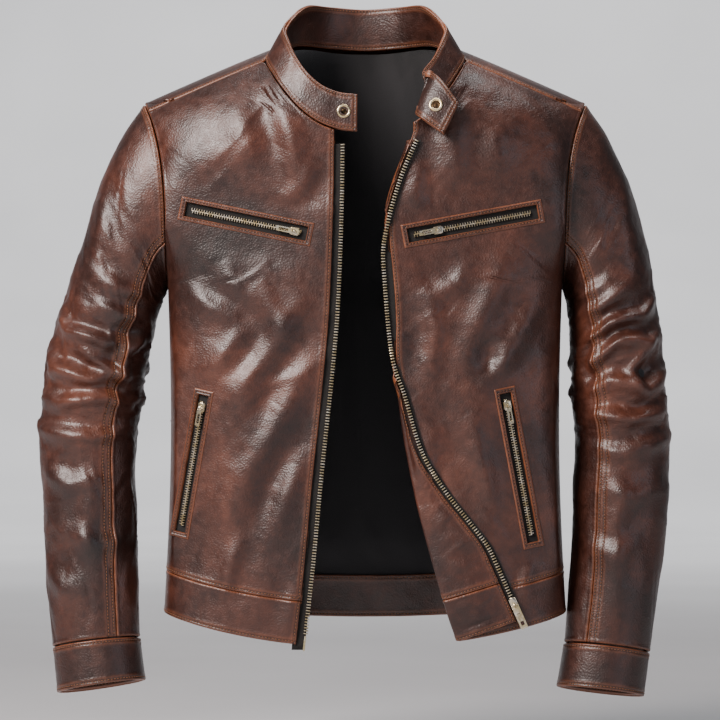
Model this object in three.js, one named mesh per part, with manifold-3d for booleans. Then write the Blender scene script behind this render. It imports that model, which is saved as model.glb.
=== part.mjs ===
// Leather riding jacket, hung upright and open, built panel by panel.
// Millimetres. +Z is up, the front faces -Y and the wearer's left is +X.
// The origin is the seat on a coat hanger: mid-width, mid-depth, level with the back neck seam.
import * as THREE from 'three';
import { mergeVertices } from 'three/addons/utils/BufferGeometryUtils.js';
import Module from 'manifold-3d';

const wasm = await Module();
wasm.setup();

// ---- driving dimensions -------------------------------------------------------------------
const SHOULDER_HALF = 238;        // middle of the back neck to a shoulder tip
const SHOULDER_DROP = 65;         // back neck seam down to a shoulder tip
const SHOULDER_SLOPE = 0.4577;    // fall of the shoulder ridge for each millimetre outwards
const RIDGE_BEND = 60;            // how softly the ridge flattens at the neck
const CHEST_HALF = 212;           // half width at the underarm
const HEM_HALF = 216;             // half width at the hem
const WAIST_TUCK = 5;             // how far each side draws in at the waist
const FRONT_DEPTH = 98;           // mid-depth plane to the chest
const BACK_DEPTH = 86;            // mid-depth plane to the back
const FRONT_ROUND = 115;          // height over which the front rolls into the shoulder
const BACK_ROUND = 140;           // height over which the back rolls into the shoulder
const SQUARENESS = 4;             // exponent of the body's rounded plan
const BODY_LENGTH = 612;          // back neck seam to the hem at a side seam
const FRONT_DIP = 34;             // how much lower the hem hangs at the front
const BACK_DIP = 13;              // how much lower the hem hangs at the back
const HEM_BAND = 46;              // height of the hem band
const NECK_HALF = 108;            // half width of the neck seam
const NECK_DROP = 102;            // back neck seam down to the front of the neck
const YOKE_DROP = 105;            // back neck seam down to the yoke seam across the back
const YOKE_FORWARD = 13;          // ridge down to the forward shoulder seam

const ARMHOLE_BOTTOM = 262;       // back neck seam down to the underarm
const ARMHOLE_FRONT = 64;         // armhole's reach forwards of the mid-depth plane
const ARMHOLE_BACK = 58;          // and backwards
const SLEEVE_SEAM = 122;          // angle from the outer line of a sleeve to each of its seams
const CUFF_HEIGHT = 48;
const SWING_GAP = 0.8;              // body to sleeve at the armhole

const LEATHER = 2;                // leather with its turned edge
const LINING = 1.2;
const BAG = 1.2;                  // a pocket bag, both plies pressed flat
const SEAM = 0.5;                 // gap between pieces sewn edge to edge
const SIDE_SEAM_SHARE = 0.7;
const PLY = 0.5;                  // gap between pieces sewn face to face
const FACING_BEHIND = 13;         // facing hidden behind each front
const FACING_INSET = 4.2;         // outer face of the leather to the facing behind it
const BAG_INSET = 4.4;              // and to a pocket bag
const LINING_INSET = FACING_INSET + LEATHER + PLY;
const BAG_EASE = 2;               // how far a bag hangs away from its zip
const LINING_LAP = 6;             // lining behind the edge of a facing
const LINING_EASE = 3.5;          // how far the lining hangs away from the pocket bags
const SLEEVE_LINING_INSET = 4.2;

const TOOTH_HALF = 2.3;           // half width of one row of main teeth
const TOOTH_THICK = 3;
const TAPE_THICK = 0.8;
const TAPE_SHOWS = 9;             // leather edge to the middle of the teeth

const LEATHER_BROWN = 0x5a3022;
const LINING_BLACK = 0x141416;
const ZIP_BLACK = 0x1a1816;
const ZIP_BRASS = 0xb9a884;
const SLIDER_NICKEL = 0xc9bc9c;
const SNAP_NICKEL = 0xd8cdb4;

// ---- small helpers --------------------------------------------------------------------------
const rad = THREE.MathUtils.degToRad;
const lerp = THREE.MathUtils.lerp;
const smooth = (x, a, b) => THREE.MathUtils.smoothstep(x, a, b);
const v3 = (x, y, z) => new THREE.Vector3(x, y, z);
const jacket = new THREE.Group();

// Welds a geometry on position alone and turns it the right way out.
function weld(geometry) {
  const bare = geometry.clone();
  for (const name of Object.keys(bare.attributes)) {
    if (name !== 'position') bare.deleteAttribute(name);
  }
  const welded = mergeVertices(bare, 1e-4);
  if (signedVolume(welded) < 0) {
    const index = welded.index.array;
    for (let i = 0; i < index.length; i += 3) {
      [index[i], index[i + 1]] = [index[i + 1], index[i]];
    }
  }
  return welded;
}

function signedVolume(geometry) {
  const index = geometry.index.array;
  const place = geometry.attributes.position;
  const corner = [v3(0, 0, 0), v3(0, 0, 0), v3(0, 0, 0)];
  let volume = 0;
  for (let i = 0; i < index.length; i += 3) {
    corner.forEach((point, k) => point.fromBufferAttribute(place, index[i + k]));
    volume += corner[0].dot(corner[1].clone().cross(corner[2])) / 6;
  }
  return volume;
}

// Moves every vertex of a unit block, x and y and z from 0 to 1, to map(x, y, z).
function bend(geometry, map) {
  const place = geometry.attributes.position;
  for (let i = 0; i < place.count; i++) {
    const point = map(place.getX(i), place.getY(i), place.getZ(i));
    place.setXYZ(i, point.x, point.y, point.z);
  }
  return weld(geometry);
}

// A flat panel bent over a surface: place(u, v, depth) is a point so far under its outer
// face, and the panel lies between the depths `out` and `into`.
function panel(nu, nv, place, out, into) {
  const block = new THREE.BoxGeometry(1, 1, 1, nu, nv, 1).translate(0.5, 0.5, 0.5);
  return bend(block, (u, v, w) => place(u, v, lerp(into, out, w)));
}

// The same for a loose inner layer, drawn in evenly towards the body's middle.
function drawnIn(face, surface) {
  return (u, v, depth) => {
    const point = surface(u, v);
    const roll = rollOver(face, point.x, point.z);
    point.x *= 1 - depth / CHEST_HALF;
    point.y *= 1 - depth / face.depth;
    point.z -= depth * Math.sqrt(1 - roll * roll);
    return point;
  };
}

const skinned = (surface) => (u, v, depth) => under(surface, u, v, depth);

// The point at a depth under a body surface, along its normal and towards the body's middle.
function under(surface, u, v, depth) {
  const step = 0.02;
  const u0 = Math.max(u - step, 0);
  const u1 = Math.min(u + step, 1);
  const v0 = Math.max(v - step, 0);
  const v1 = Math.min(v + step, 1);
  const along = surface(u1, v).sub(surface(u0, v));
  const across = surface(u, v1).sub(surface(u, v0));
  const point = surface(u, v);
  const inward = along.cross(across).normalize();
  if (inward.dot(v3(0, 0, -BODY_LENGTH / 2).sub(point)) < 0) inward.negate();
  return point.addScaledVector(inward, depth);
}

// A wall bent round into a tube: section(angle, v) is its outer face, angle from 0 to 360.
function tube(nu, nv, section, out, into) {
  const wall = [];
  for (let i = 0; i <= nv; i++) wall.push(new THREE.Vector2(2, i / nv));
  for (let i = nv; i >= 0; i--) wall.push(new THREE.Vector2(1, i / nv));
  wall.push(wall[0].clone());
  const ring = new THREE.LatheGeometry(wall, nu);
  const place = ring.attributes.position;
  const rows = wall.length;
  for (let i = 0; i < place.count; i++) {
    const column = Math.floor(i / rows) % nu;
    const row = i % rows;
    const w = wall[row].x - 1;
    const angle = (column / nu) * 360;
    const point = inside(section, angle, wall[row].y, lerp(into, out, w));
    place.setXYZ(i, point.x, point.y, point.z);
  }
  return weld(ring);
}

// The point at a depth inside a tube, towards the middle of its own section.
function inside(section, angle, v, depth) {
  const point = section(angle, v);
  const middle = section(0, v).add(section(180, v)).multiplyScalar(0.5);
  const inward = middle.sub(point).normalize();
  return point.addScaledVector(inward, depth);
}

function solid(geometry) {
  const welded = weld(geometry);
  const mesh = new wasm.Mesh({
    numProp: 3,
    vertProperties: new Float32Array(welded.attributes.position.array),
    triVerts: new Uint32Array(welded.index.array),
  });
  return new wasm.Manifold(mesh);
}

function fromSolid(body) {
  const mesh = body.getMesh();
  const geometry = new THREE.BufferGeometry();
  const place = new THREE.BufferAttribute(new Float32Array(mesh.vertProperties), 3);
  geometry.setAttribute('position', place);
  geometry.setIndex(new THREE.BufferAttribute(new Uint32Array(mesh.triVerts), 1));
  return geometry;
}

function cut(blank, ...tools) {
  let body = solid(blank);
  for (const tool of tools) body = body.subtract(solid(tool));
  return fromSolid(body);
}

function piece(name, geometry, color, roughness, metalness) {
  const material = new THREE.MeshStandardMaterial({ color, roughness, metalness });
  const mesh = new THREE.Mesh(geometry, material);
  mesh.name = name;
  jacket.add(mesh);
  return mesh;
}

const leather = (name, geometry) => piece(name, geometry, LEATHER_BROWN, 0.42, 0);
const cloth = (name, geometry) => piece(name, geometry, LINING_BLACK, 0.9, 0);
const tape = (name, geometry) => piece(name, geometry, ZIP_BLACK, 0.85, 0);
const brass = (name, geometry) => piece(name, geometry, ZIP_BRASS, 0.35, 1);
const nickel = (name, geometry) => piece(name, geometry, SLIDER_NICKEL, 0.28, 1);

// ---- body shape -----------------------------------------------------------------------------
const armholeMiddle = -(ARMHOLE_BOTTOM + SHOULDER_DROP + 1) / 2;
const armholeHalf = (ARMHOLE_BOTTOM - SHOULDER_DROP - 1) / 2;
const sideward = (side) => (side === 'left' ? 1 : -1);

// Height of the shoulder ridge at a distance from the middle.
function ridge(x) {
  const tip = Math.hypot(SHOULDER_HALF, RIDGE_BEND) - RIDGE_BEND;
  const here = Math.hypot(x, RIDGE_BEND) - RIDGE_BEND;
  return -SHOULDER_DROP + SHOULDER_SLOPE * (tip - here);
}

// Half width of the body shell at a height: the side seam, and above it the armhole edge.
function sideX(z) {
  if (z > -ARMHOLE_BOTTOM) {
    const climb = Math.min((z + ARMHOLE_BOTTOM) / (ARMHOLE_BOTTOM - SHOULDER_DROP), 1);
    return CHEST_HALF + (SHOULDER_HALF - CHEST_HALF) * climb ** 4;
  }
  const fall = (-ARMHOLE_BOTTOM - z) / (BODY_LENGTH - ARMHOLE_BOTTOM);
  return lerp(CHEST_HALF, HEM_HALF, fall) - WAIST_TUCK * Math.sin(Math.PI * Math.min(fall, 1));
}

// How far the armhole edge stands from the mid-depth plane at a height.
function armholeY(z, reach) {
  const t = (z - armholeMiddle) / armholeHalf;
  return Math.abs(t) < 1 ? reach * Math.sqrt(1 - t * t) : 0;
}

const FRONT = { sign: -1, depth: FRONT_DEPTH, round: FRONT_ROUND, reach: ARMHOLE_FRONT };
const BACK = { sign: 1, depth: BACK_DEPTH, round: BACK_ROUND, reach: ARMHOLE_BACK };

// 1 on the body, closing to 0 at the ridge as a quarter circle does.
function rollOver(face, x, z) {
  const fall = Math.min((ridge(x) - z) / face.round, 1);
  return Math.sqrt(Math.max(1 - (1 - fall) ** 2, 0));
}

// Half width of the full plan that passes through the armhole edge at a height.
function planHalf(face, z) {
  const level = Math.min(z, -SHOULDER_DROP - 2);
  const edge = sideX(level);
  const share = armholeY(level, face.reach) / (face.depth * rollOver(face, edge, level));
  return edge / (1 - Math.min(share, 0.92) ** SQUARENESS) ** (1 / SQUARENESS);
}

// Depth of the unflattened body at a place on its front or back.
function bodyDepth(face, x, z) {
  const share = Math.min(Math.abs(x) / planHalf(face, z), 1);
  return face.depth * (1 - share ** SQUARENESS) ** (1 / SQUARENESS) * rollOver(face, x, z);
}

// The plan angle, 0 at the middle and 90 at the side, that a distance from the middle has.
function planAngle(face, x, z) {
  const share = Math.min(Math.abs(x) / planHalf(face, z), 1);
  return Math.atan2(share, (1 - share ** SQUARENESS) ** (1 / SQUARENESS));
}

function planX(face, angle, z) {
  const s = Math.sin(angle);
  const c = Math.cos(angle);
  return planHalf(face, z) * s / (s ** SQUARENESS + c ** SQUARENESS) ** (1 / SQUARENESS);
}

const hemZ = (face, x) => {
  const dip = face === FRONT ? FRONT_DIP : BACK_DIP;
  return -BODY_LENGTH - dip * (1 - Math.min(Math.abs(x) / HEM_HALF, 1) ** 2);
};

// Height of the neck seam across the front.
function neckZ(x) {
  const share = Math.min(Math.abs(x) / NECK_HALF, 1);
  const top = ridge(NECK_HALF) - YOKE_FORWARD;
  return top - (NECK_DROP + top) * (1 - share ** 2.6);
}

const frontTop = (x) => (Math.abs(x) < NECK_HALF ? neckZ(x) : ridge(x) - YOKE_FORWARD);

// ---- pockets --------------------------------------------------------------------------------
// Each zip runs straight from its upper end, where the slider rests closed, to its far end.
// x is measured from the middle of the body outwards.
const POCKETS = {
  chest_right: { side: 'right', from: [66, -208], to: [186, -183], frame: 25, slot: 13,
    rest: 8, pull: 1 },
  chest_left: { side: 'left', from: [50, -210], to: [178, -186], frame: 25, slot: 13,
    rest: 27, pull: -1 },
  hand_right: { side: 'right', from: [172, -384], to: [196, -520], frame: 23, slot: 10.4,
    rest: 8, pull: 1 },
  hand_left: { side: 'left', from: [149, -382], to: [177, -530], frame: 23, slot: 10.4,
    rest: 8, pull: 1 },
};
const POCKET_END = 11;            // welt frame past each end of the zip
const FLATTENED = 0.75;          // how much of the body's slope across a zip is left
const FLAT_EDGE = 60;             // leather that eases from the zip's flat back to the body

// The plane that a closed zip holds its leather to.
function pocketPlane(pocket) {
  const [x0, z0] = pocket.from;
  const [x1, z1] = pocket.to;
  const y0 = bodyDepth(FRONT, x0, z0);
  const y1 = bodyDepth(FRONT, x1, z1);
  const middle = [(x0 + x1) / 2, (z0 + z1) / 2];
  const length = Math.hypot(x1 - x0, z1 - z0);
  const along = [(x1 - x0) / length, (z1 - z0) / length];
  const across = [-along[1], along[0]];
  const probe = 6;
  const tiltAt = (way) => bodyDepth(FRONT, middle[0] + way * across[0] * probe,
    middle[1] + way * across[1] * probe);
  const slope = FLATTENED * (tiltAt(1) - tiltAt(-1)) / (2 * probe);
  return { middle, along, across, length, depth: (y0 + y1) / 2, fall: (y1 - y0) / length, slope };
}

// Depth of the front, eased onto the plane of any pocket zip nearby.
function frontDepth(side, x, z) {
  let depth = bodyDepth(FRONT, x, z);
  for (const pocket of Object.values(POCKETS)) {
    if (pocket.side !== side) continue;
    const plane = pocketPlane(pocket);
    const dx = Math.abs(x) - plane.middle[0];
    const dz = z - plane.middle[1];
    const a = dx * plane.along[0] + dz * plane.along[1];
    const b = dx * plane.across[0] + dz * plane.across[1];
    const pastEnd = Math.max(Math.abs(a) - plane.length / 2 - POCKET_END, 0);
    const pastSide = Math.max(Math.abs(b) - pocket.frame / 2, 0);
    const nearSide = smooth(Math.abs(x) / planHalf(FRONT, z), 0.955, 0.995);
    const hold = (1 - smooth(Math.hypot(pastEnd, pastSide), 0, FLAT_EDGE)) * (1 - nearSide);
    const flat = plane.depth + a * plane.fall + b * plane.slope;
    depth = lerp(depth, flat, hold);
  }
  return depth;
}

const bodyPoint = (face, side, x, z) => {
  const depth = face === FRONT ? frontDepth(side, x, z) : bodyDepth(BACK, x, z);
  return v3(x, face.sign * depth, z);
};

// ---- front edges ----------------------------------------------------------------------------
// A curve that gives the distance from the middle at any height, through [x, z] points
// listed from the top down.
function edgeLine(points) {
  const slope = points.map((_, i) => {
    const before = points[Math.max(i - 1, 0)];
    const after = points[Math.min(i + 1, points.length - 1)];
    return (after[0] - before[0]) / (after[1] - before[1]);
  });
  return (z) => {
    if (z >= points[0][1]) return points[0][0];
    let i = 0;
    while (i < points.length - 2 && z < points[i + 1][1]) i += 1;
    const [x0, z0] = points[i];
    const [x1, z1] = points[i + 1];
    const span = z1 - z0;
    const t = (z - z0) / span;
    if (t > 1) return x1 + slope[i + 1] * (z - z1);
    const t2 = t * t;
    const t3 = t2 * t;
    return (2 * t3 - 3 * t2 + 1) * x0 + (t3 - 2 * t2 + t) * span * slope[i]
      + (3 * t2 - 2 * t3) * x1 + (t3 - t2) * span * slope[i + 1];
  };
}

const ZIP_TOP = 108;              // back neck seam down to the first tooth
const ZIP_END = { right: 632, left: 628 };     // and down to the last
const STRAIGHT_FROM = 560;        // the zip's lowest stretch, from here down, is straight
const TEETH_SUNK = -1;            // middle of the teeth above the outer face of the leather
const LIFTED_AT = 0.4;            // share of the turn by which the teeth are clear of it
const FACING_STOP = 5.6;            // facing's edge to the middle of the teeth
const FACING_REACH = 1;           // shortest run of the facing past the edge it wraps
const WRAP = 1.6;                 // radius inside the facing where it wraps the edge
const FLAP_LIFT = 4.5;            // teeth above the leather where the edge is turned out

// The right edge hangs straight and slants outwards; the left edge is turned outwards at the
// neck and again below the waist, where the front hangs open like a long lapel.
const EDGES = {
  right: {
    zip: edgeLine([[23.6, -108], [24.5, -174], [28.4, -280], [34, -350], [46, -464],
      [57.5, -585], [64.5, -645]]),
    fold: (z) => EDGES.right.zip(z) + TAPE_SHOWS,
    turn: () => 0,
  },
  left: {
    zip: edgeLine([[58.4, -101], [36, -154], [20, -217], [20, -252], [29, -342], [41, -378],
      [60, -440], [86, -487], [110, -522], [131, -555], [159, -623]]),
    fold: edgeLine([[47.5, -101], [28, -159], [23.5, -195], [29, -245], [33, -300],
      [32, -350], [39, -415], [52.6, -487], [65, -536], [76, -575], [87, -612], [99, -646]]),
    turn: (z) => Math.max(1 - smooth(-z, 160, 235), smooth(-z, 315, 385)),
  },
};
const wrapOut = WRAP + LEATHER;
const panelEdge = (side, z) => EDGES[side].fold(z) + wrapOut * EDGES[side].turn(z);

// The middle of the teeth at a height, on the wearer's right or left.
function freeZipPoint(side, z, raise) {
  const edge = EDGES[side];
  const x = edge.zip(z);
  const lift = lerp(TEETH_SUNK, FLAP_LIFT, smooth(edge.turn(z), 0, LIFTED_AT));
  const height = z + tilt(side, z);
  return v3(sideward(side) * x, -(frontDepth(side, x, height) + lift + raise), height);
}

// The same, but straight along the lowest stretch, where the slider of the left row runs.
function zipPoint(side, z, raise = 0) {
  if (z > -STRAIGHT_FROM) return freeZipPoint(side, z, raise);
  const start = freeZipPoint(side, -STRAIGHT_FROM, raise);
  const end = freeZipPoint(side, -ZIP_END[side], raise);
  return start.lerp(end, (z + STRAIGHT_FROM) / (STRAIGHT_FROM - ZIP_END[side]));
}

// The turned-out edge rises towards its free side, most at the hem.
const EDGE_RISE = 20;
const tilt = (side, z) => (side === 'left' ? EDGE_RISE * smooth(-z, 420, 640) : 0);

// ---- body panels ----------------------------------------------------------------------------
const seamAngle = SIDE_SEAM_SHARE * SEAM / BACK_DEPTH;   // each panel's share of a side seam

// Plan angle of a panel's outer edge: the side seam, or above it the armhole.
function outerAngle(face, z) {
  const edge = z > -ARMHOLE_BOTTOM ? planAngle(face, sideX(z), z) : Math.PI / 2;
  return edge - seamAngle;
}

// Front of the body between two heights, u from the front edge out to the side.
function frontSurface(side, bottom, top, inner) {
  return (u, v) => {
    let x = NECK_HALF;
    let z = -ARMHOLE_BOTTOM;
    for (let pass = 0; pass < 6; pass++) {
      const from = planAngle(FRONT, inner(z), z);
      x = planX(FRONT, lerp(from, outerAngle(FRONT, z), u), z);
      z = lerp(bottom(x), top(x), v);
    }
    return bodyPoint(FRONT, side, sideward(side) * x, z);
  };
}

// Angle over the shoulder ridge: negative on the back, positive on the front.
function yokeAngles(x) {
  const seam = -Math.acos(1 - (ridge(x) + YOKE_DROP) / BACK_ROUND);
  const front = Math.acos(1 - YOKE_FORWARD / FRONT_ROUND);
  const backNeck = -Math.acos(1 - ridge(0) / BACK_ROUND);
  const share = Math.min(Math.abs(x) / NECK_HALF, 1) ** 2.2;
  return [seam, lerp(backNeck, front, share)];
}

// The back from the hem to the yoke seam between two heights (v up to 0.7), then over the
// shoulders to the neck and the forward shoulder seams; u runs from the right to the left.
const YOKE_AT = 0.7;
function backSurface(bottom, seamAt = () => -YOKE_DROP) {
  return (u, v) => {
    const across = 2 * u - 1;
    let x = 0;
    let z = -YOKE_DROP;
    let face = BACK;
    for (let pass = 0; pass < 6; pass++) {
      x = planX(BACK, Math.abs(across) * outerAngle(BACK, z), z) * Math.sign(across);
      if (v <= YOKE_AT) {
        z = lerp(bottom(x), seamAt(x), v / YOKE_AT);
      } else {
        const [seam, top] = yokeAngles(x);
        const angle = lerp(seam, top, (v - YOKE_AT) / (1 - YOKE_AT));
        face = angle > 0 ? FRONT : BACK;
        z = ridge(x) - face.round * (1 - Math.cos(angle));
      }
    }
    const share = Math.min(Math.abs(x) / planHalf(BACK, z), 1);
    const plan = (1 - share ** SQUARENESS) ** (1 / SQUARENESS);
    return v3(x, face.sign * face.depth * plan * rollOver(face, x, z), z);
  };
}

const bandTop = (face) => (x) => hemZ(face, x) + HEM_BAND;
const rows = (surface, from, to) => (u, v) => surface(u, lerp(from, to, v));
const SEAM_SHARE = 0.0012;

const back = backSurface((x) => bandTop(BACK)(x) + SEAM);
leather('back_panel', panel(14, 10, skinned(rows(back, 0, YOKE_AT - SEAM_SHARE)), 0, LEATHER));
leather('back_yoke', panel(20, 5, skinned(rows(back, YOKE_AT + SEAM_SHARE, 1)), 0, LEATHER));
const backLining = drawnIn(BACK, rows(back, 0.004, 0.992));
const ease = (u, v) => LINING_EASE * smooth(Math.min(u, 1 - u, v, 1 - v), 0, 0.2);
cloth('lining_back', panel(14, 15, (u, v, depth) => backLining(u, v, depth + ease(u, v)),
  LINING_INSET, LINING_INSET + LINING));

const bandThick = FACING_INSET + LEATHER;
const backBand = backSurface((x) => hemZ(BACK, x), bandTop(BACK));
leather('hem_band_back', panel(16, 2, skinned(rows(backBand, 0, YOKE_AT)), 0, bandThick));

// The pocket's own frame: along the zip, across it and outwards, from the zip's middle.
function pocketFrame(pocket) {
  const plane = pocketPlane(pocket);
  const s = sideward(pocket.side);
  const point = (a, b) => {
    const x = plane.middle[0] + a * plane.along[0] + b * plane.across[0];
    const z = plane.middle[1] + a * plane.along[1] + b * plane.across[1];
    return v3(s * x, -(plane.depth + a * plane.fall + b * plane.slope), z);
  };
  const along = point(1, 0).sub(point(0, 0)).normalize();
  const out = along.clone().cross(point(0, 1).sub(point(0, 0))).normalize();
  if (out.y > 0) out.negate();
  const across = out.clone().cross(along);
  const matrix = new THREE.Matrix4().makeBasis(along, across, out);
  matrix.setPosition(point(0, 0));
  return { ...plane, matrix };
}

function roundedRect(length, width, radius) {
  const shape = new THREE.Shape();
  const a = length / 2;
  const b = width / 2;
  shape.moveTo(-a + radius, -b);
  shape.lineTo(a - radius, -b);
  shape.absarc(a - radius, -b + radius, radius, -Math.PI / 2, 0);
  shape.lineTo(a, b - radius);
  shape.absarc(a - radius, b - radius, radius, 0, Math.PI / 2);
  shape.lineTo(-a + radius, b);
  shape.absarc(-a + radius, b - radius, radius, Math.PI / 2, Math.PI);
  shape.lineTo(-a, -b + radius);
  shape.absarc(-a + radius, -b + radius, radius, Math.PI, Math.PI * 1.5);
  return shape;
}

function plate(shape, from, to, curveSegments = 3) {
  const solidPlate = new THREE.ExtrudeGeometry(shape, {
    depth: to - from, bevelEnabled: false, curveSegments,
  });
  return solidPlate.translate(0, 0, from);
}

for (const side of ['right', 'left']) {
  const inner = (z) => panelEdge(side, z);
  const surface = frontSurface(side, (x) => bandTop(FRONT)(x) + SEAM, (x) => frontTop(x) - 4 * SEAM,
    inner);
  const windows = Object.values(POCKETS).filter((pocket) => pocket.side === side)
    .map((pocket) => {
      const { length, matrix } = pocketFrame(pocket);
      const outline = roundedRect(length + 2 * POCKET_END + 2 * SEAM, pocket.frame + 2 * SEAM, 2);
      return plate(outline, -12, 12).applyMatrix4(matrix);
    });
  const blank = panel(12, 15, skinned(surface), 0, LEATHER);
  leather(`front_panel_${side}`, cut(blank, ...windows));

  const liningEdge = (z) => panelEdge(side, z) + FACING_BEHIND - LINING_LAP;
  const behind = frontSurface(side, (x) => bandTop(FRONT)(x) + SEAM,
    (x) => frontTop(x) - 2 * LINING_INSET * smooth(NECK_HALF - Math.abs(x), 0, 30) - SEAM,
    liningEdge);
  const lined = drawnIn(FRONT, behind);
  cloth(`lining_front_${side}`, panel(9, 12,
    (u, v, depth) => lined(u, v, depth + ease(u, v)), LINING_INSET, LINING_INSET + LINING));
}

// ---- facings: the leather that backs each front edge, wrapped over it where it is turned ----
const BEHIND_AT = 0.3;           // share of the facing that lies behind the front
const WRAP_AT = 0.6;              // and where its wrap round the edge ends

// u runs from 0, the free edge by the teeth, back to 1, deep behind the front.
function hook(side, bottom, top) {
  const edge = EDGES[side];
  return (u, v, depth) => {
    const q = 1 - u;
    let x = panelEdge(side, -BODY_LENGTH / 2);
    let z = lerp(bottom(x), top(x), v);
    for (let pass = 0; pass < 4; pass++) {
      x = panelEdge(side, z) + Math.max(1 - q / BEHIND_AT, 0) * FACING_BEHIND;
      z = lerp(bottom(x), top(x), v);
    }
    const turn = edge.turn(z);
    const radius = lerp(FACING_INSET - 1, WRAP, turn) + depth;
    if (q < BEHIND_AT) return v3(sideward(side) * x, 1 + radius - frontDepth(side, x, z), z);
    const cx = panelEdge(side, z);
    const body = frontDepth(side, cx, z);
    const angle = Math.PI * turn;
    const bow = Math.min((q - BEHIND_AT) / (WRAP_AT - BEHIND_AT), 1) * angle;
    const wrapped = (w) => v3(sideward(side) * (cx - radius * Math.sin(w)),
      1 + radius * Math.cos(w) - body, z);
    if (q < WRAP_AT) return wrapped(bow);
    const t = (q - WRAP_AT) / (1 - WRAP_AT);
    const end = wrapped(angle);
    const step = v3(-sideward(side) * Math.cos(angle), -Math.sin(angle), 0);
    const flat = end.clone().addScaledVector(step, FACING_REACH * t);
    const free = zipPoint(side, z, depth - LEATHER / 2);
    free.x -= sideward(side) * FACING_STOP;
    return flat.lerp(end.lerp(free, t), smooth(turn, LIFTED_AT, 1));
  };
}

for (const side of ['right', 'left']) {
  const above = (x) => bandTop(FRONT)(x) + SEAM;
  const facing = hook(side, above, () => -NECK_DROP - 24);
  leather(`facing_${side}`, panel(10, 18, facing, 0, LEATHER));
  const band = frontSurface(side, (x) => hemZ(FRONT, x), bandTop(FRONT),
    (z) => panelEdge(side, z));
  const turned = hook(side, (x) => hemZ(FRONT, x), bandTop(FRONT));
  const whole = solid(panel(12, 2, skinned(band), 0, bandThick))
    .add(solid(panel(10, 3, turned, 0, LEATHER)));
  leather(`hem_band_${side}`, fromSolid(whole));
}

// ---- sleeves --------------------------------------------------------------------------------
// The outer and inner lines of each sleeve, [distance from the middle, height], from the
// armhole down to the cuff seam, with half the sleeve's depth and how far it swings forwards.
const SLEEVES = {
  right: {
    outer: [[238, -66], [262, -101], [286, -152], [305, -213], [322, -268], [338, -318],
      [349, -382], [350, -440], [347, -500], [343, -565], [335, -651]],
    inner: [[213, -262], [214, -268], [218, -278], [223, -294], [229, -320], [236, -355],
      [242, -398], [246, -440], [246, -500], [244, -560], [242, -640]],
    rim: [[330, -699], [236, -685]],
  },
  left: {
    outer: [[238, -66], [262, -101], [285, -150], [302, -208], [313, -262], [320, -315],
      [326, -380], [329, -430], [327, -490], [320, -560], [306, -657]],
    inner: [[213, -262], [214, -268], [217, -278], [219, -292], [221, -318], [222, -352],
      [224, -395], [226, -438], [223, -495], [221, -560], [214, -646]],
    rim: [[299, -703], [206, -692]],
  },
};
const SLEEVE_DEPTH = [61, 62, 62, 61, 60, 58, 56, 54, 51, 47, 41];
const SLEEVE_FORWARD = [0, 0, 0, 1, 3, 5, 7, 9, 13, 18, 26];
const CUFF_TILT = 6;              // the cuff's front rim above its back rim, each way
const ARMHOLE_EASE = 0.15;        // share of the sleeve that takes up the armhole's shape

const curve = (points) => new THREE.CatmullRomCurve3(points.map(([x, z]) => v3(x, 0, z)));
const profile = (values) => new THREE.CatmullRomCurve3(values.map((y, i) => v3(i, y, 0)));
const depthLine = profile(SLEEVE_DEPTH);
const forwardLine = profile(SLEEVE_FORWARD);

// The armhole edge at an angle from its top, front first, standing SWING_GAP off the body.
function armhole(angle) {
  const z = armholeMiddle + armholeHalf * Math.cos(angle);
  const reach = Math.sin(angle) > 0 ? ARMHOLE_FRONT : ARMHOLE_BACK;
  return v3(sideX(z) + SWING_GAP, -reach * Math.sin(angle), z);
}

// A sleeve's surface: angle 0 on its outer line, 90 at the front, v from armhole to cuff.
function sleeveSection(side) {
  const outer = curve(SLEEVES[side].outer);
  const inner = curve(SLEEVES[side].inner);
  const ring = (angle, v) => {
    const o = outer.getPoint(v);
    const i = inner.getPoint(v);
    const middle = o.clone().add(i).multiplyScalar(0.5);
    const half = o.sub(i).multiplyScalar(0.5);
    const point = middle.addScaledVector(half, Math.cos(angle));
    point.y -= depthLine.getPoint(v).y * Math.sin(angle) + forwardLine.getPoint(v).y;
    point.z += CUFF_TILT * Math.sin(angle) * smooth(v, 0.75, 1);
    return point;
  };
  return (degrees, v) => {
    const angle = rad(degrees);
    const point = ring(angle, v);
    const share = Math.max(1 - v / ARMHOLE_EASE, 0) ** 2;
    if (share > 0) point.addScaledVector(armhole(angle).sub(ring(angle, 0)), share);
    point.x *= sideward(side);
    return point;
  };
}

function cuffSection(side) {
  const sleeve = sleeveSection(side);
  const [[xo, zo], [xi, zi]] = SLEEVES[side].rim;
  return (degrees, v) => {
    const start = sleeve(degrees, 1);
    const share = (1 - Math.cos(rad(degrees))) / 2;
    const down = v3(0, -4, lerp(zo, zi, share) - lerp(sleeve(0, 1).z, sleeve(180, 1).z, share));
    const sign = sideward(side);
    down.x = sign * lerp(xo, xi, share) - lerp(sleeve(0, 1).x, sleeve(180, 1).x, share);
    const gap = SEAM / CUFF_HEIGHT;
    return start.addScaledVector(down, lerp(gap, 1, v));
  };
}

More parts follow.
